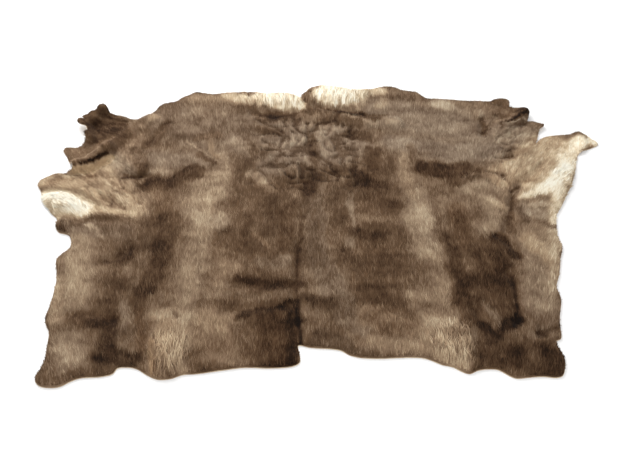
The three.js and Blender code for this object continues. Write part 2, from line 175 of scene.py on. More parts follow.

# Fine wrinkles, finer than the solid holds. A depth below 0 is a ridge.
# Each wrinkle darkens its hair in painted shade, and each ridge lightens it in a painted highlight.
RUMP_WRINKLES = table(PATH + "depth",
    ("far left fold", -180, 516, -152, 490, -126, 478, 11, 5),
    ("far left pit", -128, 478, -113, 464, -100, 450, 12, 9),
    ("left nick", -162, 412, -148, 400, -139, 384, 9, 5),
    ("left ledge", -165, 366, -140, 366, -112, 365, 8, 6),
    ("left ledge's crest", -166, 377, -140, 377, -110, 376, 8, -3),
    ("left ledge's turn", -112, 364, -102, 350, -108, 336, 9, 4),
    ("left pit", -134, 300, -118, 290, -102, 298, 12, 9),
    ("left pit's tail", -122, 322, -119, 312, -116, 300, 8, 5),
    ("lower left nick", -86, 250, -75, 238, -64, 235, 9, 7),
    ("left slope", -162, 264, -146, 244, -138, 220, 10, 5),
    ("left slope's foot", -137, 216, -126, 202, -114, 186, 10, 5),
    ("far spine slit", -24, 502, -26, 465, -23, 424, 8, 8),
    ("spine slit", -24, 413, -27, 398, -24, 386, 8, 6),
    ("right slit", 46, 474, 40, 452, 31, 436, 9, 6),
    ("right slit's crest", 30, 432, 38, 429, 46, 414, 9, -3),
    ("right hook", 112, 480, 107, 452, 117, 420, 12, 10),
    ("right hook's crest", 126, 420, 120, 408, 112, 404, 10, -3),
    ("small right nick", 88, 492, 88, 482, 87, 474, 8, 5),
    ("right seam", 87, 332, 82, 314, 77, 298, 9, 6),
    ("right seam's crest", 66, 350, 72, 334, 68, 320, 10, -3),
    ("right pit", 119, 286, 110, 262, 117, 240, 15, 12),
    ("right pit's arm", 60, 260, 68, 247, 74, 240, 10, 8),
    ("right ledge", 82, 239, 100, 236, 120, 232, 8, 7),
    ("right ledge's crest", 48, 224, 68, 232, 112, 226, 9, -4),
    ("right ledge's end", 119, 232, 123, 216, 117, 198, 10, 7),
    ("long spine edge", -42, 302, -40, 262, -42, 220, 10, 7),
    ("long spine edge's crest", -60, 300, -57, 262, -52, 224, 8, -3),
    ("foot of the spine edge", -46, 216, -32, 210, -27, 192, 10, 7),
    ("far nick", -74, 456, -68, 448, -60, 444, 9, 5),
    ("far nick's crest", -80, 482, -68, 464, -60, 482, 9, -3),
    ("far spine nick", -56, 500, -52, 512, -47, 524, 9, 5),
    ("middle nick", 22, 268, 38, 256, 56, 248, 9, 5),
    ("far right nick", 66, 512, 72, 496, 68, 478, 9, 5),
    ("far left nick", -88, 520, -99, 502, -92, 482, 10, 5),
    ("far cross nick", -60, 420, -46, 400, -30, 392, 10, 4),
    ("right cheek", 60, 400, 78, 392, 98, 402, 10, 4),
    ("lower right cheek", 70, 372, 88, 380, 104, 372, 9, 4))

LEG_WRINKLES = table(PATH + "depth",
    ("left thigh line", -584, 246, -574, 216, -558, 188, 8, 5),
    ("left thigh line's end", -558, 188, -522, 150, -500, 118, 8, 4),
    ("outer left thigh line", -596, 214, -584, 180, -540, 148, 8, 4),
    ("left groin line", -622, 162, -606, 140, -580, 118, 8, 4),
    ("outer left groin line", -642, 152, -628, 130, -614, 112, 8, 4),
    ("far left groin line", -666, 196, -650, 170, -640, 158, 8, 3),
    ("left thigh nick", -518, 198, -506, 186, -499, 176, 8, 5),
    ("lower left thigh line", -592, 150, -562, 120, -540, 98, 9, 4),
    ("middle left thigh line", -562, 212, -546, 186, -522, 160, 8, 4),
    ("right leg swirl", 578, 396, 600, 388, 614, 404, 9, 4),
    ("right leg upper line", 572, 364, 590, 360, 606, 374, 9, 5),
    ("right leg middle line", 558, 340, 580, 348, 602, 358, 9, -3),
    ("right leg lower line", 546, 328, 572, 326, 600, 336, 9, 5),
    ("right leg lowest line", 550, 304, 566, 312, 598, 326, 9, 3),
    ("right stifle line", 512, 263, 530, 257, 547, 254, 9, 6),
    ("right stifle nick", 557, 248, 552, 237, 557, 227, 8, 7),
    ("right stifle knob", 540, 214, 552, 210, 560, 200, 10, -3),
    ("right groin notch", 566, 170, 576, 182, 594, 194, 9, 6),
    ("right groin seam", 556, 98, 562, 128, 566, 152, 10, 6),
    ("right leg fold line", 580, 470, 620, 486, 670, 500, 10, 4),
    ("left leg streak", -700, 520, -660, 500, -616, 494, 12, 4),
    ("left leg lower streak", -712, 470, -672, 462, -630, 440, 12, 4),
    ("left leg upper streak", -690, 545, -650, 524, -600, 510, 11, 4))

WRINKLES = [*RUMP_WRINKLES, *LEG_WRINKLES]

# Where short hair lies in fine long wrinkles along its own direction
# The wrinkles' lines are darkened in painted shade, and the creped hair between them is a little lighter.
CREPED = table("name x y reach_x reach_y",
    ("left thigh", -580, 190, 100, 110),
    ("left groin", -710, 235, 90, 50),
    ("left pocket", -560, 290, 60, 50),
    ("left hind leg", -670, 470, 100, 90),
    ("right hind leg", 630, 460, 100, 110),
    ("right thigh", 580, 270, 70, 100),
    ("right groin", 720, 340, 100, 100))

# Where the hair is longer or shorter than on the body, the coat's depth there
COAT_DEPTHS = table("name x y reach_x reach_y depth",
    ("left hind leg", -665, 470, 105, 95, 5),
    ("left groin's flap", -700, 335, 84, 56, 6),
    ("left groin", -735, 225, 90, 40, 14),
    ("left tuft", -715, 135, 95, 42, 32),
    ("knob under the left tuft", -700, 28, 26, 24, 30),
    ("right hind leg", 660, 535, 95, 95, 5),
    ("right groin's tip", 800, 400, 100, 75, 8),
    ("right groin's white hair", 715, 235, 60, 90, 24),
    ("left tail hair", -120, 622, 95, 48, 36),
    ("right tail hair", 72, 645, 80, 55, 38),
    ("left near clump", -362, -410, 60, 70, 28),
    ("right near clump", 345, -390, 60, 70, 27),
    ("rump", -20, 400, 200, 130, 15))

# The crumpled rump, the cover at its edge, and how far apart the waves of its creases lie
RUMP = {"x": -20, "y": 370, "reach_x": 170, "reach_y": 190}
RUMP_EDGE = 0.3
CRUMPLE_WARP = 60

# The body's pieces of hair, each between two lines across the hide
REGIONS = table("name left right",
    ("hide_hair_left_flank", -900, -372),
    ("hide_hair_left_back", -372, -20),
    ("hide_hair_right_back", -20, 340),
    ("hide_hair_right_flank", 340, 900))

# Which way the hair lies, as an angle in degrees from the +X axis. Elsewhere it lies along +Y.
FLOWS = table("name x y reach_x reach_y angle weight",
    ("left groin", -720, 200, 110, 60, 160, 4),
    ("left tuft", -700, 130, 120, 50, 172, 5),
    ("under the left tuft", -660, 30, 90, 50, 140, 2),
    ("left thigh", -560, 170, 70, 100, 128, 2),
    ("left hind leg", -670, 450, 110, 110, 152, 4),
    ("left flank", -620, -200, 90, 240, 104, 2),
    ("far left corner", -460, 560, 120, 110, 112, 2),
    ("left near corner", -610, -440, 80, 70, 112, 2),
    ("right groin", 700, 300, 130, 120, 44, 5),
    ("right groin's rim", 730, 180, 70, 80, 28, 4),
    ("right thigh", 570, 180, 70, 90, 66, 2),
    ("right hind leg", 650, 500, 110, 110, 42, 4),
    ("right flank's rim", 650, 0, 50, 140, 35, 3),
    ("right flank", 600, -200, 70, 160, 72, 2),
    ("far right corner", 480, 560, 120, 90, 72, 2),
    ("right near corner", 560, -420, 80, 60, 60, 2),
    ("left tail hair", -130, 610, 110, 60, 96, 3),
    ("right tail hair", 80, 640, 110, 60, 84, 3))

# Bands of lighter and darker hair, painted in this order, where they show from the near end. Some of them
# are painted shade or painted highlights instead, as the comments over them say. A higher edge makes a band's
# border crisper. A tone goes from 0, nearly black, to 1, cream. A tint goes from -1, grey, to 1, tan.
BAND = PATH + "edge tone tint strength"
LEFT_BANDS = table(BAND,
    ("middle", -170, 200, -175, -120, -170, -440, 160, 1.5, 0.32, 0.10, 1),
    ("purple brown", -480, -40, -478, -160, -470, -340, 60, 1.5, 0.31, -0.05, 0.9),
    ("brown field", -450, 180, -428, 110, -420, 40, 54, 1.5, 0.29, 0.2, 0.95),
    ("dark column", -418, 0, -405, -62, -448, -250, 47, 2, 0.17, 0.15, 1),
    ("darkest hair", -424, 60, -420, -10, -422, -70, 26, 1.3, 0.13, 0.1, 0.7),
    ("light column", -335, 210, -310, -50, -330, -260, 54, 1.5, 0.49, 0, 0.95),
    ("column's brightest", -350, 76, -312, 62, -272, 48, 42, 1.2, 0.66, -0.1, 0.85),
    ("column's pale side", -290, 60, -270, 50, -255, 30, 30, 1.3, 0.54, -0.2, 0.7),
    ("middle's tan", -240, -60, -230, -120, -240, -170, 60, 1.3, 0.40, 0.15, 0.7),
    ("brown streak", -188, 60, -184, 20, -192, -30, 20, 1.3, 0.22, 0.2, 0.8),
    ("brown rows", -226, -10, -190, -60, -140, -85, 22, 1.3, 0.26, 0.2, 0.7),
    ("squiggle", -160, 8, -144, -18, -124, -42, 9, 2, 0.50, 0.3, 0.7),
    ("spine brown", -84, 110, -80, 40, -84, -60, 34, 1.4, 0.22, 0.2, 0.8),
    ("grey patch", -146, -100, -112, -112, -78, -100, 36, 1.4, 0.44, -0.25, 0.85),
    ("upper cross band", -205, -172, -130, -180, -40, -184, 24, 1.5, 0.16, 0.15, 0.9),
    ("upper cross band's end", -300, -180, -250, -190, -200, -192, 14, 1.3, 0.30, 0, 0.6),
    ("light row", -280, -222, -180, -222, -80, -212, 20, 1.5, 0.44, 0, 0.8),
    ("lower cross band", -200, -290, -130, -272, -58, -250, 16, 1.5, 0.08, 0.1, 0.95),
    ("dark near the spine", -120, -300, -100, -360, -90, -425, 62, 1.5, 0.20, 0.25, 1),
    ("dark spine side", -66, -270, -64, -350, -62, -430, 22, 1.3, 0.11, 0.1, 0.8),
    ("brown near the hem", -150, -385, -125, -400, -100, -405, 22, 1.3, 0.30, 0.2, 0.7),
    ("near left", -270, -310, -248, -360, -225, -400, 72, 1.6, 0.48, 0.15, 0.95),
    ("near left olive", -300, -420, -230, -425, -170, -420, 24, 1.4, 0.45, 0.1, 0.8),
    ("blond clump", -366, -290, -360, -360, -364, -440, 60, 1.8, 0.52, 0.15, 1),
    ("clump's right side", -328, -320, -318, -390, -312, -444, 34, 1.3, 0.60, 0.05, 0.9),
    ("clump's brightest", -380, -284, -354, -276, -326, -296, 32, 1.3, 0.64, -0.05, 0.85),
    ("clump's yellow curls", -396, -360, -392, -400, -376, -440, 20, 1.3, 0.52, 0.5, 0.8),
    ("clump's nick", -352, -272, -346, -282, -338, -292, 6, 2, 0.22, 0, 0.7),
    ("clump's second nick", -390, -340, -384, -352, -376, -358, 6, 2, 0.22, 0, 0.7),
    ("flank", -640, -10, -620, -130, -610, -250, 66, 1.7, 0.50, 0, 1),
    ("flank's rim", -672, -170, -668, -230, -654, -300, 32, 1.3, 0.62, 0.05, 0.85),
    ("flank's brown", -510, -70, -514, -160, -520, -252, 42, 1.5, 0.25, 0.1, 0.9),
    ("flank's pinkish spot", -505, -115, -500, -130, -498, -148, 18, 1.3, 0.42, -0.05, 0.7),
    ("flank crease's shade", -560, -104, -530, -100, -502, -84, 12, 1.6, 0.20, 0.1, 0.8),
    ("cross band", -600, -284, -570, -292, -510, -304, 34, 1.5, 0.26, 0.15, 0.95),
    ("cross band's dark end", -565, -304, -535, -308, -512, -318, 26, 1.3, 0.17, 0.05, 0.8),
    ("grey-pink lock", -482, -262, -474, -295, -470, -330, 24, 1.5, 0.39, -0.3, 0.9),
    ("clump's olive side", -430, -270, -424, -340, -424, -400, 18, 1.4, 0.28, 0.3, 0.85),
    ("near flank", -600, -360, -580, -395, -570, -440, 60, 1.6, 0.41, -0.1, 0.95),
    ("near flank's light", -600, -380, -580, -400, -560, -420, 34, 1.3, 0.53, -0.2, 0.8),
    ("near dark", -512, -340, -505, -400, -500, -450, 34, 1.5, 0.20, 0, 0.95),
    ("dark triangle", -500, -405, -472, -412, -442, -424, 34, 2, 0.10, -0.05, 1),
    ("near rim", -645, -470, -600, -478, -540, -462, 20, 1.5, 0.30, 0.05, 0.9))
RIGHT_BANDS = table(BAND,
    ("middle", 160, 80, 160, -120, 150, -300, 130, 1.6, 0.28, 0.15, 1),
    ("taupe centre stripe", -8, 190, 4, -40, 30, -210, 40, 2.4, 0.34, -0.25, 0.95),
    ("centre stripe's foot", 30, -130, 60, -230, 110, -310, 50, 2, 0.35, -0.25, 0.95),
    ("stripe foot's light", 58, -290, 85, -305, 118, -320, 28, 1.3, 0.45, -0.2, 0.85),
    ("stripe's brown wedge", 52, 80, 48, 20, 56, -30, 32, 2, 0.25, 0.1, 0.95),
    ("thin pale stripe", 100, 168, 104, 60, 90, -40, 12, 1.8, 0.48, -0.25, 0.9),
    ("dark cross patch", 104, 10, 140, 0, 174, -4, 38, 1.3, 0.13, 0.15, 0.85),
    ("far brown", 160, 190, 162, 145, 202, 110, 46, 1.4, 0.20, 0.15, 0.9),
    ("olive row", 120, 72, 170, 64, 235, 50, 26, 1.3, 0.44, 0.1, 0.75),
    ("dark at the stripe's edge", 70, -70, 82, -100, 110, -130, 34, 1.5, 0.18, 0.1, 0.85),
    ("tan spots", 105, -66, 130, -74, 160, -80, 16, 1.3, 0.38, 0.2, 0.6),
    ("dark row", 120, -190, 165, -196, 205, -192, 16, 1.3, 0.18, 0.1, 0.7),
    ("second right dark row", 100, -250, 170, -256, 240, -250, 14, 1.3, 0.22, 0.1, 0.6),
    ("dark in the stripe", -20, -232, 0, -247, 34, -246, 28, 1.4, 0.14, 0.05, 1),
    ("near tan field", 130, -285, 186, -305, 236, -316, 50, 1.5, 0.46, 0.2, 0.9),
    ("near light field", 140, -370, 200, -380, 290, -385, 40, 1.5, 0.47, 0.1, 0.9),
    ("dark tufts at the hem", 5, -345, 45, -352, 85, -372, 20, 1.5, 0.20, -0.15, 0.85),
    ("hem's grey hair", 10, -372, 70, -384, 146, -404, 22, 1.3, 0.30, -0.25, 0.8),
    ("light column", 294, 170, 280, 20, 300, -50, 56, 1.6, 0.53, -0.05, 1),
    ("light column's end", 318, -90, 322, -160, 318, -240, 38, 1.5, 0.46, 0.05, 0.95),
    ("column's brightest", 288, 110, 306, 60, 310, 0, 34, 1.3, 0.63, -0.15, 0.85),
    ("column's light spots", 270, -30, 300, -66, 316, -86, 16, 1.3, 0.60, 0, 0.7),
    ("light grainy row", 240, -222, 290, -228, 340, -236, 24, 1.4, 0.47, 0.05, 0.8),
    ("crease over the right clump", 205, -252, 250, -256, 300, -250, 8, 1.5, 0.24, 0.1, 0.7),
    ("blond clump", 290, -310, 308, -360, 335, -420, 60, 1.6, 0.53, 0.08, 1),
    ("clump's brightest", 268, -300, 298, -302, 326, -310, 28, 1.1, 0.62, -0.05, 0.8),
    ("clump's dark side", 378, -380, 374, -424, 378, -455, 28, 1.3, 0.27, 0.05, 0.85),
    ("dark side", 364, -30, 374, -170, 384, -300, 38, 1.4, 0.17, 0.15, 0.95),
    ("column's far end", 405, 110, 408, 40, 410, -30, 40, 1.6, 0.24, 0.25, 0.95),
    ("bright strands", 384, 120, 386, 80, 384, 40, 8, 1.5, 0.42, 0.3, 0.6),
    ("dark column", 455, -60, 455, -160, 455, -250, 72, 2, 0.19, 0.15, 1),
    ("darkest hair", 410, -165, 455, -172, 505, -180, 34, 1.4, 0.11, 0.1, 0.85),
    ("near dark", 430, -400, 500, -410, 560, -420, 78, 1.8, 0.145, 0.1, 1),
    ("brown spot", 450, -70, 462, -100, 460, -130, 22, 1.3, 0.30, 0.2, 0.6),
    ("grey lock", 430, -255, 436, -285, 444, -318, 16, 1.5, 0.42, -0.25, 0.9),
    ("shadow under the lock", 406, -318, 418, -354, 470, -312, 34, 1.6, 0.05, 0, 0.95),
    ("streaks at the near corner", 512, -356, 522, -390, 520, -412, 26, 1.2, 0.30, 0.1, 0.75),
    ("spine", -40, 30, -42, -200, -40, -380, 9, 1.6, 0.15, 0.1, 0.85),
    ("second spine line", -24, -40, -22, -160, -26, -240, 6, 1.3, 0.26, 0, 0.6),
    ("spine's near end", -44, -250, -42, -320, -40, -385, 12, 1.5, 0.05, 0, 0.85),
    ("flank", 590, -60, 580, -180, 565, -310, 66, 1.8, 0.45, -0.15, 1),
    ("flank's tan", 580, -20, 610, -60, 630, -100, 46, 1.4, 0.57, 0.2, 0.85),
    ("flank's far end", 590, 30, 620, 20, 650, 10, 34, 1.4, 0.50, 0.05, 0.9),
    ("flank's light rim", 658, 0, 640, -100, 608, -188, 37, 1.3, 0.68, 0.02, 0.85),
    ("pinkish back", 490, 140, 490, 70, 480, 20, 44, 1.6, 0.50, -0.05, 1),
    ("pale spot", 500, 130, 520, 118, 536, 110, 26, 1.3, 0.64, 0.15, 0.8),
    ("grey groin", 585, 100, 605, 88, 635, 80, 38, 1.5, 0.54, -0.4, 0.95),
    ("grey groin's dark side", 582, 106, 582, 84, 586, 50, 18, 1.2, 0.28, -0.25, 0.85),
    ("grey groin's white streaks", 600, 125, 625, 122, 650, 118, 18, 1.3, 0.68, -0.3, 0.8),
    ("cream rim", 678, 60, 674, 108, 692, 150, 34, 1.6, 0.86, 0.1, 0.95),
    ("dark groin line", 556, 100, 546, 60, 530, 10, 13, 1.6, 0.22, 0.1, 0.9),
    ("scallop", 500, -18, 520, -50, 534, -84, 24, 2.2, 0.11, 0.1, 0.95),
    ("scallop's side", 478, -60, 492, -90, 500, -115, 22, 1.5, 0.16, 0.15, 0.9),
    ("near valley", 512, -170, 512, -230, 500, -310, 14, 1.6, 0.08, 0, 0.9),
    ("valley's pit", 490, -290, 494, -304, 492, -318, 16, 1.5, 0.03, 0, 0.95),
    ("flank's pit", 548, -332, 552, -342, 562, -346, 18, 1.3, 0.06, 0, 0.85),
    ("pit's arm", 560, -330, 580, -334, 596, -336, 11, 1.2, 0.22, 0.1, 0.7))
FAR_BANDS = table(BAND,
    ("far left", -500, 560, -380, 450, -250, 480, 130, 1.6, 0.36, -0.3, 1),
    ("lower far left", -480, 320, -400, 316, -300, 325, 62, 1.5, 0.50, -0.45, 0.9),
    ("left light by the crease", -262, 400, -236, 376, -218, 346, 48, 1.3, 0.52, -0.35, 0.85),
    ("far left rim", -400, 640, -330, 630, -260, 620, 40, 1.3, 0.50, 0.1, 0.8),
    ("far left's light", -385, 560, -346, 540, -295, 572, 52, 1.3, 0.48, -0.15, 0.85),
    ("far right", 230, 560, 380, 500, 520, 460, 130, 1.6, 0.45, -0.45, 1),
    ("far right rim", 400, 606, 470, 566, 520, 556, 40, 1.5, 0.62, -0.35, 0.9),
    ("lower far right", 250, 400, 400, 352, 545, 356, 72, 1.5, 0.48, -0.6, 0.95),
    ("rump", -120, 450, -20, 400, 100, 400, 120, 1.6, 0.50, -0.5, 0.95),
    ("lower rump", -130, 290, -84, 330, 60, 340, 80, 1.4, 0.52, -0.5, 0.95),
    ("left light back", -290, 330, -272, 250, -290, 160, 50, 1.4, 0.53, 0, 0.9),
    ("left dark patch", -485, 198, -425, 215, -350, 258, 34, 3, 0.18, 0.15, 0.98),
    ("left dark patch's far end", -400, 240, -380, 262, -345, 270, 24, 3, 0.18, 0.15, 0.95),
    ("right dark patch", 335, 275, 375, 265, 430, 275, 46, 3, 0.16, 0.2, 0.98),
    ("right dark patch's tail", 430, 268, 470, 262, 505, 258, 16, 2.5, 0.22, 0.15, 0.95),
    ("right patch's near lobe", 400, 240, 405, 225, 410, 212, 24, 2, 0.20, 0.2, 0.9),
    ("right patch's far lobe", 285, 385, 288, 360, 296, 335, 22, 1.6, 0.36, 0.1, 0.8),
    ("right patch's small spot", 322, 344, 332, 346, 342, 348, 11, 1.5, 0.34, 0.1, 0.7),
    ("light beside the left pocket", -490, 262, -465, 270, -435, 262, 20, 1.6, 0.56, -0.15, 0.85),
    ("left far brown", -240, 330, -215, 300, -205, 270, 30, 1.3, 0.32, 0.05, 0.8),
    ("left crease's tan side", -325, 400, -312, 370, -295, 340, 18, 1.5, 0.50, 0.2, 0.8),
    ("left crease's light line", -390, 394, -345, 362, -302, 322, 5, 2, 0.62, 0, 0.8),
    ("left crease's shade", -352, 345, -335, 325, -318, 312, 18, 1.6, 0.26, 0.15, 0.9),
    ("upper left smudge", -365, 415, -335, 425, -310, 440, 26, 1.4, 0.34, 0.15, 0.85),
    ("ridge's brown", -560, 480, -560, 430, -570, 400, 40, 1.5, 0.40, 0.1, 0.9),
    ("thigh valley's shade", -465, 512, -488, 440, -512, 385, 20, 1.6, 0.24, 0.1, 0.95),
    ("valley's elbow", -555, 362, -538, 363, -520, 366, 6, 2, 0.22, 0, 0.85),
    ("left ridge's light edge", -646, 389, -595, 449, -500, 540, 9, 3, 0.50, 0.1, 0.9),
    ("right brown back", 170, 350, 175, 300, 165, 240, 40, 1.5, 0.22, 0.2, 0.9),
    ("dark on the spine", -4, 236, -14, 204, -18, 172, 38, 1.4, 0.10, 0.1, 0.95),
    ("right dark back", 130, 250, 150, 225, 200, 200, 38, 1.5, 0.16, 0.15, 0.9),
    ("right light back", 262, 330, 270, 250, 275, 170, 34, 1.5, 0.50, 0.1, 0.95),
    ("brown beside it", 222, 320, 220, 290, 216, 260, 30, 1.3, 0.24, 0.1, 0.85),
    ("right light strip", 440, 186, 478, 194, 515, 194, 38, 1.4, 0.54, -0.1, 0.9),
    ("spine's dark patch", -4, 430, 0, 400, -22, 240, 24, 1.3, 0.24, 0, 0.85),
    ("rump's light side", 52, 392, 70, 374, 84, 348, 28, 1.3, 0.54, -0.3, 0.85),
    ("dark over the right ledge", 60, 258, 90, 262, 120, 262, 16, 1.3, 0.20, 0.1, 0.75),
    ("left light patch", -185, 250, -170, 235, -150, 225, 30, 1.3, 0.56, -0.05, 0.8),
    # Painted shade in the gap under the left tail hair.
    ("left tail gap", -190, 540, -130, 534, -86, 540, 16, 1.4, 0.17, 0.1, 0.85),
    ("left rump dark", -180, 470, -155, 460, -120, 450, 28, 1.4, 0.26, 0.15, 0.8),
    # Painted shade in the gap under the right tail hair.
    ("right tail gap", 20, 582, 45, 578, 75, 566, 14, 1.5, 0.16, 0.1, 0.85),
    ("right tail gap's end", 80, 556, 112, 550, 150, 552, 14, 1.6, 0.08, 0.05, 0.95),
    # Painted shade in the valley behind the right ridge, then painted highlights along the ridge's crest.
    ("valley behind the ridge", 140, 538, 175, 532, 220, 530, 20, 1.5, 0.20, 0.1, 0.9),
    ("right ridge's light face", 82, 546, 118, 532, 165, 512, 7, 1.8, 0.60, -0.1, 0.9),
    ("right ridge's end", 165, 511, 220, 509, 300, 506, 7, 1.6, 0.54, -0.1, 0.8),
    ("below the ridge", 130, 480, 160, 470, 200, 465, 28, 1.3, 0.34, 0, 0.8),
    ("right hook's dark", 112, 446, 152, 444, 172, 412, 28, 1.3, 0.24, 0.1, 0.85),
    ("middle dark spot", 12, 528, 20, 528, 28, 524, 12, 1.5, 0.22, 0, 0.8),
    ("far right stripe", 505, 580, 520, 530, 540, 480, 30, 1.3, 0.42, 0.1, 0.7),
    ("far right tan", 215, 650, 222, 625, 215, 595, 28, 1.3, 0.54, 0.1, 0.7))
LEG_BANDS = table(BAND,
    ("left hind leg", -704, 530, -674, 490, -640, 425, 92, 2.6, 0.22, 0.1, 1),
    ("left leg's streaks", -700, 520, -660, 505, -610, 490, 14, 1.3, 0.28, 0.2, 0.8),
    ("left lip", -765, 370, -710, 350, -650, 390, 34, 2, 0.38, 0.15, 1),
    # A painted highlight: a pale line along the lip's edge.
    ("left lip's edge", -738, 300, -694, 318, -644, 364, 9, 1.8, 0.50, 0.2, 0.9),
    ("left groin", -790, 225, -720, 240, -640, 250, 60, 1.8, 0.55, 0.2, 1),
    ("left thigh", -620, 250, -580, 180, -520, 110, 66, 1.7, 0.57, 0.15, 1),
    ("left thigh's grey", -600, 330, -580, 300, -560, 270, 34, 1.4, 0.46, -0.3, 0.9),
    ("left thigh's light line", -590, 200, -560, 160, -530, 120, 14, 1.4, 0.68, 0.1, 0.7),
    ("left groin's nut spot", -698, 262, -682, 258, -668, 252, 14, 1.5, 0.36, 0.35, 0.85),
    ("left groin's light rim", -800, 225, -770, 245, -740, 250, 16, 1.3, 0.66, 0, 0.8),
    # The lip's near face is painted paler than its tan, as painted light for the shade it lies in.
    ("lip's near face", -712, 272, -664, 286, -618, 324, 27, 2, 0.80, 0.5, 0.9),
    # A painted shadow under the lip's crest, in two bands.
    ("left hollow", -692, 296, -664, 312, -630, 346, 9, 4, 0, 0, 1),
    ("left hollow's line", -724, 286, -708, 290, -692, 298, 4, 4, 0.08, 0, 0.9),
    ("left groin's near side", -740, 200, -680, 190, -600, 140, 34, 1.8, 0.62, 0.2, 1),
    ("left pocket's side", -525, 290, -518, 275, -512, 260, 16, 1.3, 0.33, 0.1, 0.8),
    # Painted shade in the hollow of the left pocket.
    ("left pocket", -560, 246, -543, 241, -526, 246, 17, 1.6, 0.10, 0.1, 0.95),
    ("under the left tuft", -690, 28, -600, 18, -520, 8, 42, 1.4, 0.37, -0.3, 1),
    ("under the tuft, dark", -690, 44, -655, 40, -610, 30, 12, 1.1, 0.22, -0.1, 0.7),
    ("under the tuft, dark end", -600, 26, -560, 18, -515, 2, 20, 1.4, 0.26, -0.2, 0.8),
    ("wisps under the tuft", -630, 40, -605, 20, -584, -4, 10, 1.2, 0.66, -0.2, 0.7),
    ("left tuft's band", -640, 112, -580, 92, -522, 78, 30, 1.3, 0.66, 0.15, 0.95),
    ("left tuft", -768, 142, -722, 120, -660, 106, 54, 1.6, 0.90, 0.12, 1),
    ("left tuft's brightest", -768, 152, -718, 140, -664, 122, 44, 1.3, 0.96, 0, 0.9),
    ("left tuft's near rim", -772, 118, -748, 94, -716, 74, 20, 1.3, 0.74, 0, 0.8),
    ("left tuft's cream end", -620, 104, -575, 92, -535, 80, 18, 1.1, 0.76, 0.2, 0.8),
    ("left knob", -714, 34, -704, 26, -694, 20, 20, 2, 0.14, 0, 1),
    ("right hind leg", 600, 450, 640, 430, 680, 430, 80, 2, 0.55, -0.4, 1),
    ("right leg's far side", 560, 600, 600, 590, 630, 600, 40, 1.8, 0.40, 0.1, 0.95),
    ("right roll's dark end", 650, 566, 668, 574, 682, 570, 22, 1.6, 0.16, 0.1, 0.9),
    # Painted shade on the underside of the right hind leg's roll.
    ("right roll's underside", 586, 492, 630, 520, 678, 552, 15, 1.7, 0.11, 0.1, 1),
    ("roll's tan side", 566, 506, 600, 536, 636, 572, 22, 1.3, 0.44, 0.15, 0.8),
    ("right flap's light edge", 586, 490, 630, 503, 684, 516, 8, 1.8, 0.66, -0.4, 0.9),
    ("right leg valley", 538, 535, 530, 500, 524, 440, 10, 1.7, 0.26, 0.2, 0.85),
    ("right leg valley's foot", 520, 445, 530, 455, 540, 462, 10, 1.6, 0.16, 0.1, 0.9),
    ("right leg rim", 682, 395, 690, 420, 700, 450, 9, 1.8, 0.12, 0.05, 0.9),
    ("right thigh", 550, 240, 620, 290, 700, 400, 74, 1.7, 0.60, 0.18, 1),
    ("right groin's tan", 640, 210, 690, 300, 750, 410, 60, 1.5, 0.67, 0.18, 1),
    ("right thigh's pink", 600, 290, 640, 310, 680, 340, 30, 1.3, 0.64, 0.1, 0.7),
    ("right brown streak", 570, 212, 605, 222, 640, 218, 14, 1.4, 0.50, 0.3, 0.8),
    ("right groin's cream", 706, 190, 752, 290, 802, 388, 56, 1.3, 0.88, 0.1, 1),
    ("right groin's brightest", 655, 178, 700, 228, 742, 290, 34, 1.2, 0.97, -0.03, 0.9),
    ("right groin's white foot", 596, 150, 630, 160, 670, 176, 17, 1.2, 0.82, 0.05, 0.85),
    ("right groin's rim", 705, 140, 722, 170, 745, 200, 18, 1.4, 0.66, 0.15, 0.85),
    ("right tan streak", 690, 330, 710, 350, 735, 400, 14, 1.3, 0.62, 0.2, 0.7),
    ("right groin's tip", 800, 400, 830, 410, 870, 402, 34, 2.4, 0.90, 0.05, 1),
    ("tip's brown patch", 818, 440, 826, 430, 834, 420, 13, 1.4, 0.50, -0.05, 0.8),
    ("tip's crease", 812, 366, 835, 372, 865, 392, 3, 4, 0.34, 0, 0.5))
TAIL_BANDS = table(BAND,
    ("left tail hair", -158, 636, -112, 622, -56, 612, 66, 1.6, 0.92, 0.12, 1),
    ("left tail hair's roots", -180, 572, -130, 560, -80, 566, 16, 1.2, 0.62, 0.15, 0.7),
    ("left tail hair's end", -290, 644, -237, 630, -188, 632, 38, 1.3, 0.76, 0.08, 0.85),
    ("right tail hair", 38, 656, 76, 658, 134, 656, 74, 1.5, 0.93, 0.1, 1),
    ("right tail hair's roots", 30, 588, 80, 580, 135, 578, 16, 1.2, 0.64, 0.15, 0.7),
    ("right tail hair's end", 150, 654, 180, 668, 215, 685, 36, 1.4, 0.76, 0.15, 0.85),
    ("tail", -26, 690, -24, 640, -18, 570, 25, 2, 0.38, 0.15, 1),
    ("tail's dark side", -30, 564, -4, 572, 26, 556, 24, 1.3, 0.20, 0.05, 0.9))
BANDS = [*LEFT_BANDS, *RIGHT_BANDS, *FAR_BANDS, *LEG_BANDS, *TAIL_BANDS]
BASE_TONE = 0.36
BASE_TINT = 0.05

# Layers of soft noise: a lump's length along X, how many times shorter it is along Y, its strength, a seed
LAYER = "length shorter gain seed"
RIPPLES = table(LAYER, (60, 1.8, 1, 3), (26, 1.5, 0.5, 4), (95, 4.2, 0.7, 5))
PATCHES = table(LAYER, (42, 1, 1, 15), (17, 1, 0.6, 16))
CROSS_ROWS = table(LAYER, (120, 3.4, 1, 17), (58, 3.6, 0.7, 18))

# Large unlike numbers to scatter with
SCATTER_STEPS = (127.1, 311.7, 74.7)
SCATTER_GAIN = 43758.5453


def points_of(rows: Rows) -> np.ndarray:
    """The x and y of each row, as an array."""
    return np.array([[row["x"], row["y"]] for row in rows], float)


def lengths(vectors: np.ndarray) -> np.ndarray:
    """The length of each row of an array."""
    return np.sqrt((vectors * vectors).sum(-1))


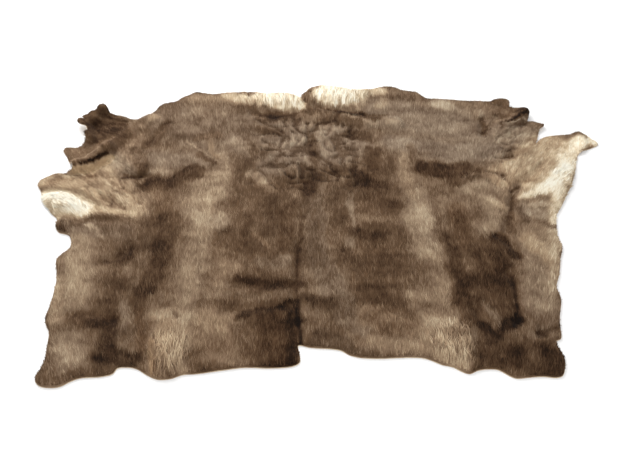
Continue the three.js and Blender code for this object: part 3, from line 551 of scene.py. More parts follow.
def unit(vectors: np.ndarray) -> np.ndarray:
    """Each row of an array, made 1 long."""
    return vectors / np.maximum(lengths(vectors), 1e-9)[..., None]


def hump(distance: np.ndarray, reach: float) -> np.ndarray:
    """A smooth hump from 1 at the middle to 0 at its reach."""
    return 0.5 + 0.5 * np.cos(np.pi * np.minimum(distance / reach, 1))


def segment_distance(points: np.ndarray, start: np.ndarray, end: np.ndarray) -> np.ndarray:
    """How far each point is from a straight line between two points.

    Args:
        points: The points, with x and y last.
        start: One end of the line.
        end: Its other end.

    Returns:
        The distances.
    """
    along = end - start
    share = np.clip(((points - start) @ along) / (along @ along), 0, 1)
    return lengths(points - start - share[..., None] * along)


def row_ends(row: Row) -> np.ndarray:
    """The three points of a row's path, as an array."""
    return np.array([[row[f"x{n}"], row[f"y{n}"]] for n in (1, 2, 3)], float)


def path_distance(points: np.ndarray, row: Row) -> np.ndarray:
    """How far each point is from a row's path of three points."""
    first, middle, last = row_ends(row)
    return np.minimum(segment_distance(points, first, middle), segment_distance(points, middle, last))


def area_cover(points: np.ndarray, area: Row, power: int = 2) -> np.ndarray:
    """How much each point belongs to an oval area.

    Args:
        points: The points, with x and y last.
        area: A row with the oval's middle and its reach along X and Y.
        power: A higher even power gives a flatter middle and a steeper border.

    Returns:
        1 at the area's middle, falling towards 0 past its reach.
    """
    across = (points[..., 0] - area["x"]) / area["reach_x"]
    along = (points[..., 1] - area["y"]) / area["reach_y"]
    return np.exp(-(across ** power + along ** power))


def scatter(first: np.ndarray, second: np.ndarray, seed: int) -> np.ndarray:
    """A repeatable number from 0 to 1 for each pair of whole numbers.

    Args:
        first: The first whole numbers.
        second: The second ones.
        seed: Another seed gives other numbers.

    Returns:
        The numbers.
    """
    a, b, c = SCATTER_STEPS
    wave = np.sin(first * a + second * b + seed * c) * SCATTER_GAIN
    return wave - np.floor(wave)


def soft_noise(points: np.ndarray, length: float, seed: int) -> np.ndarray:
    """Soft noise from 0 to 1.

    Args:
        points: The points, with x and y last.
        length: The size of one lump.
        seed: Another seed gives other noise.

    Returns:
        The noise at each point.
    """
    place = points / length
    cell = np.floor(place)
    share = place - cell
    share = share * share * (3 - 2 * share)
    corner = [scatter(cell[..., 0] + i, cell[..., 1] + j, seed) for j in (0, 1) for i in (0, 1)]
    near = corner[0] + (corner[1] - corner[0]) * share[..., 0]
    far = corner[2] + (corner[3] - corner[2]) * share[..., 0]
    return near + (far - near) * share[..., 1]


def layered_noise(points: np.ndarray, layers: Rows) -> np.ndarray:
    """Soft noise about 0 in several layers.

    Args:
        points: The points, with x and y last.
        layers: A row for each layer, with the columns of LAYER.

    Returns:
        The noise at each point.
    """
    total = np.zeros(points.shape[:-1])
    for layer in layers:
        noise = soft_noise(points * (1, layer["shorter"]), layer["length"], layer["seed"])
        total += layer["gain"] * (noise - 0.5)
    return total


def staggered_rows(ring: np.ndarray, step: float, seed: int, nudge: float = 0.3) -> np.ndarray:
    """Points in staggered rows over a ring's whole box, each moved a little at random.

    Args:
        ring: The ring.
        step: How far apart the points lie.
        seed: Another seed moves them otherwise.
        nudge: How far they are moved, as a share of the step.

    Returns:
        The points.
    """
    low, high = ring.min(0), ring.max(0)
    rise = step * math.sqrt(0.75)
    i, j = np.meshgrid(np.arange((high[0] - low[0]) / step), np.arange((high[1] - low[1]) / rise))
    i, j = i.ravel(), j.ravel()
    x = low[0] + (i + (j % 2) / 2 + nudge * (scatter(i, j, seed) - 0.5)) * step
    y = low[1] + (j + nudge * (scatter(i, j, seed + 1) - 0.5)) * rise
    return np.column_stack([x, y])


def smooth_ring(corners: np.ndarray, spacing: float) -> np.ndarray:
    """A closed smooth line through corners, a centripetal Catmull-Rom curve.

    Args:
        corners: The corners, in order.
        spacing: About how far apart its points lie.

    Returns:
        The line's points, the corners among them.
    """
    before, after, last = (np.roll(corners, shift, axis=0) for shift in (1, -1, -2))
    gaps = (corners - before, after - corners, last - after)
    knots = [np.sqrt(lengths(gap))[:, None] for gap in gaps]
    leave = (corners - before) / knots[0] - (after - before) / (knots[0] + knots[1])
    leave = (leave + (after - corners) / knots[1]) * knots[1]
    arrive = (after - corners) / knots[1] - (last - corners) / (knots[1] + knots[2])
    arrive = (arrive + (last - after) / knots[2]) * knots[1]
    ring = []
    for index, gap in enumerate(lengths(after - corners)):
        steps = max(1, round(gap / spacing))
        t = (np.arange(steps) / steps)[:, None]
        to = t * t * (3 - 2 * t)
        curve = corners[index] * (1 - to) + after[index] * to
        ring.append(curve + leave[index] * t * (1 - t) ** 2 - arrive[index] * t * t * (1 - t))
    return np.concatenate(ring)


def outward(ring: np.ndarray) -> np.ndarray:
    """The direction out of an anticlockwise ring at each of its points."""
    along = np.roll(ring, -1, axis=0) - np.roll(ring, 1, axis=0)
    return unit(np.stack([along[:, 1], -along[:, 0]], axis=1))


@dataclass
class PlanGrid:
    """A square grid of points over the plan, on which slow values are worked out once.

    Attributes:
        low: Its lowest x and y.
        high: Its highest x and y.
        step: How far apart its points lie.
    """

    low: tuple[float, float] = (-850, -530)
    high: tuple[float, float] = (910, 740)
    step: float = 3

    def __post_init__(self) -> None:
        """Lays out the points."""
        self.xs = np.arange(self.low[0], self.high[0], self.step, dtype=float)
        self.ys = np.arange(self.low[1], self.high[1], self.step, dtype=float)
        self.points = np.stack(np.meshgrid(self.xs, self.ys), axis=-1)

    def blank(self, value: float) -> np.ndarray:
        """One value at every point."""
        return np.full(self.points.shape[:2], float(value))

    def window(self, around: np.ndarray, margin: float) -> tuple[slice, slice]:
        """The part of the grid round some points.

        Args:
            around: The points.
            margin: How far past them it reaches.

        Returns:
            The slices of its rows and of its columns.
        """
        first = (around.min(0) - margin - self.low) / self.step
        last = (around.max(0) + margin - self.low) / self.step
        columns, rows = (slice(max(0, int(a)), max(0, int(b) + 2)) for a, b in zip(first, last))
        return rows, columns

    def read(self, values: np.ndarray, points: np.ndarray) -> np.ndarray:
        """Values between the grid's points.

        Args:
            values: A value for each of its points.
            points: Where to read them.

        Returns:
            The value at each place.
        """
        rows, columns = values.shape
        column = np.clip((points[:, 0] - self.low[0]) / self.step, 0, columns - 1.001)
        row = np.clip((points[:, 1] - self.low[1]) / self.step, 0, rows - 1.001)
        i, j = column.astype(int), row.astype(int)
        across, up = column - i, row - j
        near = values[j, i] * (1 - across) + values[j, i + 1] * across
        far = values[j + 1, i] * (1 - across) + values[j + 1, i + 1] * across
        return near * (1 - up) + far * up


@dataclass
class Comb:
    """Which way the hair lies.

    Attributes:
        grid: The grid that the directions are kept on.
        body_angle: The angle on the body, in degrees from the +X axis.
        contrast: How strongly streaks differ.
        stride: How far apart the noise is taken along a streak, as a share of its width.
    """

    grid: PlanGrid
    body_angle: float = 90
    contrast: float = 2.6
    stride: float = 0.8

    def __post_init__(self) -> None:
        """Blends the directions on the grid."""
        points = self.grid.points
        turn = math.radians(self.body_angle)
        self.x = self.grid.blank(math.cos(turn))
        self.y = self.grid.blank(math.sin(turn))
        for flow in FLOWS:
            weight = flow["weight"] * area_cover(points, flow)
            self.x += weight * math.cos(math.radians(flow["angle"]))
            self.y += weight * math.sin(math.radians(flow["angle"]))

    def at(self, points: np.ndarray, turn: np.ndarray) -> np.ndarray:
        """The hair's direction in plan.

        Args:
            points: Points in plan.
            turn: How far each one's hair is turned aside, in radians.

        Returns:
            A direction for each point, 1 long.
        """
        way = unit(np.column_stack([self.grid.read(self.x, points), self.grid.read(self.y, points)]))
        cosine, sine = np.cos(turn), np.sin(turn)
        return np.column_stack([way[:, 0] * cosine - way[:, 1] * sine, way[:, 0] * sine + way[:, 1] * cosine])

    def streaks(self, points: np.ndarray, width: float, length: float, seed: int) -> np.ndarray:
        """Noise from 0 to 1 that is narrow across the hair and long along it, round its bends too.

        Args:
            points: Points in plan.
            width: How far apart the streaks lie.
            length: How long they are.
            seed: Another seed gives other streaks.

        Returns:
            The noise at each point.
        """
        stride = self.stride * width
        each_way = max(1, round(length / stride / 2))
        straight = np.zeros(len(points))
        total = soft_noise(points, width, seed)
        for sense in (-1, 1):
            place = points
            for _ in range(each_way):
                place = place + sense * stride * self.at(place, straight)
                total = total + soft_noise(place, width, seed)
        mean = total / (1 + 2 * each_way)
        return np.clip(0.5 + self.contrast * (mean - 0.5), 0, 1)


@dataclass
class HideShape:
    """The hide's form: its rim, how the skin lies, and how deep the coat is on it.

    Attributes:
        rim_spacing: How far apart the rim's points lie.
        crumple_height: How high the rump's lumps are.
        crumple_length: How long they are.
        crumple_crease: How deep the creases between them are.
        crumple_shade: How much painted shade darkens those creases, and painted highlight lightens lump tops.
        small_crumple: How long its smaller lumps are, as a share of that.
        crepe_width: How far apart the fine long wrinkles on the legs lie.
        crepe_length: How long they are.
        crepe_depth: How deep they are.
        crepe_shade: How much painted shade darkens them.
        ripple_height: How high the small lumps all over the coat are.
        wrinkle_gain: How much deeper the fine wrinkles are than their table says.
        crease_shade: How much painted shade darkens a crease for each millimetre of its depth.
        wrinkle_shade: How much painted shade darkens a millimetre of fine wrinkle, or painted highlight
            lightens a ridge.
        relief: How strongly the coat's own slopes shade.
        steepest: The steepest slope that counts.
        farthest: Distances to the rim are known up to this.
        grid: The grid that slow values are kept on.
        long_from: Hair lies in streaks where the coat is this much deeper than on the body.
        long_to: It lies fully in streaks where the coat is this much deeper.
    """

    rim_spacing: float = 6
    crumple_height: float = 9
    crumple_length: float = 56
    crumple_crease: float = 7
    crumple_shade: float = 0.30
    small_crumple: float = 0.55
    crepe_width: float = 9
    crepe_length: float = 60
    crepe_depth: float = 2.5
    crepe_shade: float = 0.14
    ripple_height: float = 3.2
    wrinkle_gain: float = 1.5
    crease_shade: float = 0.006
    wrinkle_shade: float = 0.034
    relief: float = 1.2
    steepest: float = 1.6
    farthest: float = 45
    long_from: float = 3
    long_to: float = 11
    grid: PlanGrid = field(default_factory=PlanGrid)

    def __post_init__(self) -> None:
        """Works out the rim and the values on the grid."""
        self.rim = smooth_ring(points_of(OUTLINE), self.rim_spacing)
        self.comb = Comb(self.grid)
        self.inset = self.rim_distances()
        self.sunk = self.sunk_depths()
        self.depth = self.coat_depths()
        longer = (self.depth - BODY_DEPTH - self.long_from) / (self.long_to - self.long_from)
        self.streaked = np.maximum(self.streaked, np.clip(longer, 0, 1))
        self.rise_y, self.rise_x = np.gradient(self.depth, self.grid.step)

    def rim_distances(self) -> np.ndarray:
        """How far inside the rim each of the grid's points is, below 0 outside it."""
        nearest = self.grid.blank(self.farthest)
        inside = np.zeros(nearest.shape, bool)
        for start, end in zip(self.rim, np.roll(self.rim, -1, axis=0)):
            rows, columns = self.grid.window(np.array([start, end]), self.farthest)
            distance = segment_distance(self.grid.points[rows, columns], start, end)
            nearest[rows, columns] = np.minimum(nearest[rows, columns], distance)
            crossed = (start[1] > self.grid.ys) != (end[1] > self.grid.ys)
            rise = (self.grid.ys[crossed] - start[1]) / (end[1] - start[1] or 1)
            edge = start[0] + rise * (end[0] - start[0])
            inside[crossed] ^= self.grid.xs[None, :] < edge[:, None]
        return np.where(inside, nearest, -nearest)

    def sunk_depths(self) -> np.ndarray:
        """How far creases and wrinkles sink the coat at each of the grid's points."""
        sunk = self.grid.blank(0)
        # Painted shade: darker hair in creases and wrinkles, and lighter hair on ridges as painted highlight.
        self.shade = self.grid.blank(0)
        kinds = ((CREASES, 1, self.crease_shade), (WRINKLES, self.wrinkle_gain, self.wrinkle_shade))
        for rows, gain, shade in kinds:
            for row in rows:
                window = self.grid.window(row_ends(row), row["reach"])
                cover = hump(path_distance(self.grid.points[window], row), row["reach"])
                sunk[window] += gain * row["depth"] * cover
                self.shade[window] += shade * row["depth"] * cover * cover
        return sunk

    def coat_depths(self) -> np.ndarray:
        """The coat's depth away from the rim at each of the grid's points, less its creases and wrinkles."""
        points = self.grid.points
        depth = self.grid.blank(BODY_DEPTH)
        for area in COAT_DEPTHS:
            depth += (area["depth"] - BODY_DEPTH) * area_cover(points, area)
        turn = 2 * np.pi / LUMP_LENGTH
        waves = np.sin(turn * (points[..., 0] + LUMP_SLANT * points[..., 1]))
        depth += LUMP_HEIGHT * waves * np.sin(turn * (points[..., 1] - LUMP_SLANT * points[..., 0]))
        depth -= self.sunk
        depth += self.crumples() + self.crepe()
        least = 0.15
        shallow = np.clip(depth / BODY_DEPTH, least, 1)
        depth += self.ripple_height * layered_noise(points, RIPPLES) * shallow
        return np.maximum(THINNEST, depth)

    def crumples(self) -> np.ndarray:
        """The rump's small lumps and the creases between them, as a height at each of the grid's points."""
        points = self.grid.points
        rump = area_cover(points, RUMP, power=4)
        line, level, light = 0.2, 0.4, 0.45
        warp = np.stack([soft_noise(points, CRUMPLE_WARP, seed) for seed in (6, 7)], axis=-1)
        height = self.grid.blank(0)
        for share, seed in ((1, 1), (self.small_crumple, 2)):
            size = self.crumple_length * share
            folded = np.abs(2 * soft_noise(points + size * warp, size, seed) - 1)
            crease = np.exp(-(folded / line) ** 2)
            lump = self.crumple_height * (folded - level)
            # A painted highlight on the lumps' tops, and painted shade in the creases between them.
            top = light * np.clip(folded - 0.5, 0, 1)
            height += rump * share * (lump - self.crumple_crease * crease)
            self.shade += rump * share * self.crumple_shade * (crease - top)
        return height

    def crepe(self) -> np.ndarray:
        """The fine long wrinkles of the legs, as a height at each of the grid's points."""
        points = self.grid.points
        cover = self.grid.blank(0)
        for area in CREPED:
            cover = np.maximum(cover, area_cover(points, area, power=4))
        self.streaked = cover
        flat = points.reshape(-1, 2)
        streak = self.comb.streaks(flat, self.crepe_width, self.crepe_length, seed=71).reshape(cover.shape)
        width, light = 0.09, 0.3
        line = cover * np.exp(-((streak - 0.5) / width) ** 2)
        # Painted shade along the wrinkles' lines; the creped hair between them is a little lighter.
        self.shade += self.crepe_shade * (line - light * cover)
        return -self.crepe_depth * line

    def inside(self, points: np.ndarray) -> np.ndarray:
        """How far inside the rim each point is."""
        return self.grid.read(self.inset, points)

    def coat(self, points: np.ndarray) -> np.ndarray:
        """The coat's depth at each point, rounded down to the rim.

        Args:
            points: Points in plan.

        Returns:
            A depth for each point.
        """
        full = self.grid.read(self.depth, points)
        low = np.minimum(full, RIM_DEPTH)
        left = 1 - np.clip(self.inside(points) / RIM_ROUND, 0, 1)
        return low + (full - low) * np.sqrt(1 - left * left)

    def lie(self, points: np.ndarray) -> np.ndarray:
        """Where points of the flat skin come to lie.

        Args:
            points: Points in plan.

        Returns:
            Their places, with a height: on the floor, or up on a fold.
        """
        place = np.column_stack([points, np.zeros(len(points))])
        for fold in FOLDS:
            share = hump(path_distance(points, fold), fold["reach"])
            place += share[:, None] * (fold["lean_x"], fold["lean_y"], fold["height"])
        return place

    def normal(self, points: np.ndarray) -> np.ndarray:
        """The direction straight out of the lying skin at each point.

        Args:
            points: Points in plan.

        Returns:
            A direction for each point, 1 long.
        """
        step = 0.5
        along_x = self.lie(points + (step, 0)) - self.lie(points - (step, 0))
        along_y = self.lie(points + (0, step)) - self.lie(points - (0, step))
        return unit(np.cross(along_x, along_y))

    def facing(self, points: np.ndarray) -> np.ndarray:
        """The direction straight out of the coat's top at each point.

        Args:
            points: Points in plan.

        Returns:
            A direction for each point, 1 long.
        """
        slope = np.column_stack([self.grid.read(self.rise_x, points), self.grid.read(self.rise_y, points)])
        slope = self.relief * np.clip(slope, -self.steepest, self.steepest)
        return unit(self.normal(points) - np.column_stack([slope, np.zeros(len(points))]))

    @staticmethod
    def shown(places: np.ndarray) -> np.ndarray:
        """Where raised places show in the plan, as seen from the near end at half a right angle."""
        return places[:, :2] + np.outer(places[:, 2] - PLAN_HEIGHT, (0, 1))

    def lift(self, points: np.ndarray, height: np.ndarray) -> np.ndarray:
        """Places at a height over the lying skin's underside, straight out of it."""
        return self.lie(points) + self.normal(points) * np.asarray(height)[..., None]

    def near_relief(self, points: np.ndarray, margin: float) -> np.ndarray:
        """Whether each point is near a fold, a crease or a wrinkle.

        Args:
            points: Points in plan.
            margin: How far past its reach still counts as near.

        Returns:
            True for the points that are.
        """
        near = area_cover(points, RUMP, power=4) > RUMP_EDGE
        for row in [*FOLDS, *CREASES, *WRINKLES]:
            near |= path_distance(points, row) < row["reach"] + margin
        return near


@dataclass
class Markings:
    """The coat's tones and tints, painted in bands.

    Attributes:
        shape: The hide's form.
        sway: How far a band's edges wander.
        sway_length: How long one wave of them is.
        crispest: The edges of bands with a higher edge value don't wander.
        spikes: How far short hair carries a band's edge, as a share of the coat's depth.
        long_spikes: How much further streaked hair carries it.
        spike_width: How far apart those spikes lie.
        spike_length: How long one streak of hair is.
        mottle: How uneven the tone is in patches.
        layers: How uneven it is in rows across the hair.
        bunches: How unlike bunches of short hair are.
        long_bunches: How much more unlike they are in streaked hair.
        deepest_shade: The most that painted shade darkens a crease; a painted highlight lightens half as much
            at most.
    """

    shape: HideShape
    sway: float = 24
    sway_length: float = 60
    crispest: float = 3.5
    spikes: float = 0.5
    long_spikes: float = 0.7
    spike_width: float = 6
    spike_length: float = 36
    mottle: float = 0.12
    layers: float = 0.12
    bunches: float = 0.02
    long_bunches: float = 0.12
    deepest_shade: float = 0.22

    def __post_init__(self) -> None:
        """Paints the bands on the grid."""
        self.grid = self.shape.grid
        points = self.grid.points
        swayed = points.copy()
        for axis in (0, 1):
            sizes = ((self.sway_length, 1, 1, 11 + axis), (self.sway_length / 3, 1, 0.5, 13 + axis))
            waves = table(LAYER, *sizes)
            swayed[..., axis] += self.sway * layered_noise(points, waves)
        flat = points.reshape(-1, 2)
        streak = self.shape.comb.streaks(flat, self.spike_width, self.spike_length, seed=75) - 0.5
        carried = self.shape.comb.at(flat, np.zeros(len(flat))) * streak[:, None]
        streak = streak.reshape(self.shape.depth.shape)
        carry = (self.spikes + self.long_spikes * self.shape.streaked) * self.shape.depth
        swayed += carried.reshape(points.shape) * carry[..., None]
        self.tone = self.grid.blank(BASE_TONE)
        self.tint = self.grid.blank(BASE_TINT)
        for band in BANDS:
            window = self.grid.window(row_ends(band), band["reach"] + 2 * self.sway)
            place = points if band["edge"] > self.crispest else swayed
            cover = np.minimum(1, band["edge"] * hump(path_distance(place[window], band), band["reach"]))
            cover = cover * band["strength"]
            self.tone[window] += (band["tone"] - self.tone[window]) * cover
            self.tint[window] += (band["tint"] - self.tint[window]) * cover
        uneven = self.mottle * layered_noise(points, PATCHES)
        uneven += self.layers * layered_noise(points, CROSS_ROWS)
        pale, cream, calm = 0.6, 0.9, 0.7
        self.tone += (1 - calm * np.clip((self.tone - pale) / (cream - pale), 0, 1)) * uneven
        self.tone += (self.bunches + self.long_bunches * self.shape.streaked) * streak
        # Painted shade in creases and wrinkles, and painted highlights on ridges and lumps, less on dark
        # hair.
        shade = np.clip(self.shape.shade, -self.deepest_shade / 2, self.deepest_shade)
        middle, least = 0.4, 0.3
        self.tone -= shade * np.clip(self.tone / middle, least, 1)


@dataclass
class Form:
    """The arrays of one mesh.

    Attributes:
        points: Its corners, in millimetres in plan.
        triangles: Three corners for each face.
        values: Named values for each corner.
        layout: A place in the finish's square layout for each corner of each face.
        normals: A shading direction for each corner, or None for the faces' own.
    """

    points: np.ndarray
    triangles: np.ndarray
    values: dict[str, np.ndarray]
    layout: np.ndarray
    normals: np.ndarray | None = None

    def to_object(self, name: str, finish: bpy.types.Material) -> bpy.types.Object:
        """Makes the Blender object.

        Args:
            name: The piece's name.
            finish: Its material.

        Returns:
            The object, in the scene.
        """
        mesh = bpy.data.meshes.new(name)
        corners = self.triangles.astype(np.int32).ravel()
        mesh.vertices.add(len(self.points))
        moved = (self.points - (*PLAN_MIDDLE, 0)) * MM
        mesh.vertices.foreach_set("co", moved.astype(np.float32).ravel())
        mesh.loops.add(len(corners))
        mesh.loops.foreach_set("vertex_index", corners)
        mesh.polygons.add(len(self.triangles))
        mesh.polygons.foreach_set("loop_start", np.arange(0, len(corners), 3, dtype=np.int32))
        mesh.update(calc_edges=True)
        mesh.polygons.foreach_set("use_smooth", np.ones(len(self.triangles), bool))
        for label, values in self.values.items():
            layer = mesh.attributes.new(label, "FLOAT", "POINT")
            layer.data.foreach_set("value", values.astype(np.float32))
        places = mesh.uv_layers.new(name="OFBake")
        places.data.foreach_set("uv", self.layout.astype(np.float32).ravel())
        if self.normals is not None:
            mesh.normals_split_custom_set_from_vertices(self.normals.astype(np.float32))
        mesh.materials.append(finish)
        piece = bpy.data.objects.new(name, mesh)
        bpy.context.scene.collection.objects.link(piece)
        LOG.info("%s: %d faces", name, len(self.triangles))
        return piece


@dataclass
class Cut:
    """The flat skin cut into triangles, finer near its folds and creases.

    Attributes:
        shape: The hide's form.
        fine: The spacing of the points near them.
        coarse: The spacing elsewhere.
        clear: How far inside the rim its inner points stay.
    """

    shape: HideShape
    fine: float
    coarse: float
    clear: float = 4

    def triangles(self) -> tuple[np.ndarray, np.ndarray, int]:
        """Joins the rim and the inner points.

        Returns:
            The points with the rim's first, three corners for each triangle, and the number of rim points.
        """
        rim, margin, closest = self.shape.rim, 2, 1e-4
        fine = staggered_rows(rim, self.fine, seed=21)
        fine = fine[self.shape.near_relief(fine, margin)]
        coarse = staggered_rows(rim, self.coarse, seed=23)
        coarse = coarse[~self.shape.near_relief(coarse, margin + self.coarse / 2)]
        inner = np.concatenate([fine, coarse])
        inner = inner[self.shape.inside(inner) > self.clear]
        points = np.concatenate([rim, inner])
        edges = [(index, (index + 1) % len(rim)) for index in range(len(rim))]
        found = delaunay_2d_cdt([Vector(point) for point in points], edges, [], 1, closest)
        corners = np.array(found[2])
        flat = np.array([tuple(point) for point in found[0]])
        a, b, c = (flat[corners[:, n]] for n in range(3))
        area = (b - a)[:, 0] * (c - a)[:, 1] - (b - a)[:, 1] * (c - a)[:, 0]
        corners[area < 0] = corners[area < 0][:, ::-1]
        return flat, corners, len(rim)


def slab_form(cut: tuple[np.ndarray, np.ndarray, int], under: np.ndarray, top: np.ndarray,
              values: dict[str, np.ndarray]) -> Form:
    """A closed slab over a cut of the flat skin.

    Args:
        cut: The flat points, the triangles and the number of rim points.
        under: The place of each point's underside.
        top: The place of each point's top.
        values: Named values for each flat point.

    Returns:
        The slab: its top, its underside and the wall at its rim.
    """
    flat, faces, rim_count = cut
    count = len(flat)
    here = np.arange(rim_count)
    after = (here + 1) % rim_count
    wall = np.concatenate([np.column_stack([here + count, after + count, after]),
                           np.column_stack([here + count, after, here])])
    triangles = np.concatenate([faces, faces[:, ::-1] + count, wall])
    skirt, slack = 4.0, 1.05
    low, span = flat.min(0), (flat.max(0) - flat.min(0)).max() * slack
    spread = flat.copy()
    spread[:rim_count] += skirt * outward(flat[:rim_count])
    place = (flat - low + skirt) / span
    stretched = (spread - low + skirt) / span
    half = np.array([0.5, 1.0])
    laid = [place[faces] * half, place[faces[:, ::-1]] * half + (0.5, 0)]
    both = np.concatenate([place, stretched]) * half
    layout = np.concatenate([*laid, both[wall]])
    doubled = {label: np.concatenate([each, each]) for label, each in values.items()}
    return Form(np.concatenate([top, under]), triangles, doubled, layout)


class NodeSheet:
    """A short way to place and join nodes in a material or a group."""

    def __init__(self, tree: bpy.types.NodeTree) -> None:
        """Works in one node tree."""
        self.tree = tree

    def add(self, kind: str, **settings: object) -> bpy.types.Node:
        """Places a node.

        Args:
            kind: The node's type.
            settings: Its properties by name.

        Returns:
            The node.
        """
        node = self.tree.nodes.new(kind)
        for label, value in settings.items():
            setattr(node, label, value)
        return node

    def group(self, tree: bpy.types.NodeTree, place: object, **values: float) -> bpy.types.Node:
        """Places a node group.

        Args:
            tree: The group.
            place: The socket with the place.
            values: The values of its other inputs, by their names.

        Returns:
            The group's node.
        """
        node = self.add("ShaderNodeGroup", node_tree=tree)
        for label, value in {"Place": place, **values}.items():
            self.feed(node.inputs[label], value)
        return node

    def feed(self, socket: bpy.types.NodeSocket, source: object) -> None:
        """Joins a source to a socket, or sets the socket's value.

        Args:
            socket: The socket.
            source: An output socket, a number or a colour.
        """
        if isinstance(source, bpy.types.NodeSocket):
            self.tree.links.new(source, socket)
        else:
            socket.default_value = source

    def maths(self, operation: str, first: object, second: object, clamp: bool = False) -> object:
        """One step of arithmetic.

        Args:
            operation: The Math node's operation.
            first: Its first input.
            second: Its second input.
            clamp: Whether the result is kept from 0 to 1.

        Returns:
            The result's socket.
        """
        node = self.add("ShaderNodeMath", operation=operation, use_clamp=clamp)
        self.feed(node.inputs[0], first)
        self.feed(node.inputs[1], second)
        return node.outputs[0]

    def noise(self, place: object, scale: float, detail: float, stretch: tuple = (1, 1, 1)) -> object:
        """Noise about 0, from about -0.5 to 0.5.

        Args:
            place: The socket with the place.
            scale: Lumps to a metre.
            detail: How many finer layers it has.
            stretch: How much closer it is along each axis.

        Returns:
            The noise's socket.
        """
        mapping = self.add("ShaderNodeMapping")
        self.feed(mapping.inputs["Vector"], place)
        mapping.inputs["Scale"].default_value = stretch
        node = self.add("ShaderNodeTexNoise")
        self.feed(node.inputs["Vector"], mapping.outputs[0])
        node.inputs["Scale"].default_value = scale
        node.inputs["Detail"].default_value = detail
        return self.maths("SUBTRACT", node.outputs[0], 0.5)

    def ramp(self, factor: object, stops: list[tuple[float, tuple[int, int, int]]]) -> object:
        """A colour ramp.

        Args:
            factor: The socket that it follows.
            stops: A place from 0 to 1 and a display colour for each stop.

        Returns:
            The colour's socket.
        """
        node = self.add("ShaderNodeValToRGB")
        self.feed(node.inputs[0], factor)
        elements = node.color_ramp.elements
        while len(elements) > 1:
            elements.remove(elements[-1])
        elements[0].position, elements[0].color = stops[0][0], display_colour(stops[0][1])
        for place, colour in stops[1:]:
            elements.new(place).color = display_colour(colour)
        return node.outputs[0]

    def tinted(self, colour: object, share: object, tint: tuple[int, int, int]) -> object:
        """A colour multiplied by a tint.

        Args:
            colour: The colour's socket.
            share: How much of the tint it takes.
            tint: The tint as a display colour.

        Returns:
            The tinted colour's socket.
        """
        mix = self.add("ShaderNodeMix", data_type="RGBA", blend_type="MULTIPLY")
        self.feed(mix.inputs["Factor"], share)
        self.feed(mix.inputs[6], colour)
        self.feed(mix.inputs[7], display_colour(tint))
        return mix.outputs[2]


def display_colour(colour: tuple[int, int, int]) -> tuple[float, float, float, float]:
    """A colour of light from a display colour.

    Args:
        colour: Red, green and blue from 0 to 255.

    Returns:
        The linear colour with full cover.
    """
    parts = [part / 255 for part in colour]
    linear = [part / 12.92 if part <= 0.04045 else ((part + 0.055) / 1.055) ** 2.4 for part in parts]
    return (*linear, 1.0)


def new_group(name: str, inputs: dict[str, str],
              outputs: dict[str, str]) -> tuple[bpy.types.NodeTree, NodeSheet]:
    """Starts a shader node group.

    Args:
        name: Its name.
        inputs: Each input's name and socket type.
        outputs: Each output's name and socket type.

    Returns:
        The group and a sheet to place its nodes with.
    """
    tree = bpy.data.node_groups.new(name, "ShaderNodeTree")
    for side, sockets in (("INPUT", inputs), ("OUTPUT", outputs)):
        for label, kind in sockets.items():
            tree.interface.new_socket(name=label, in_out=side, socket_type=kind)
    return tree, NodeSheet(tree)


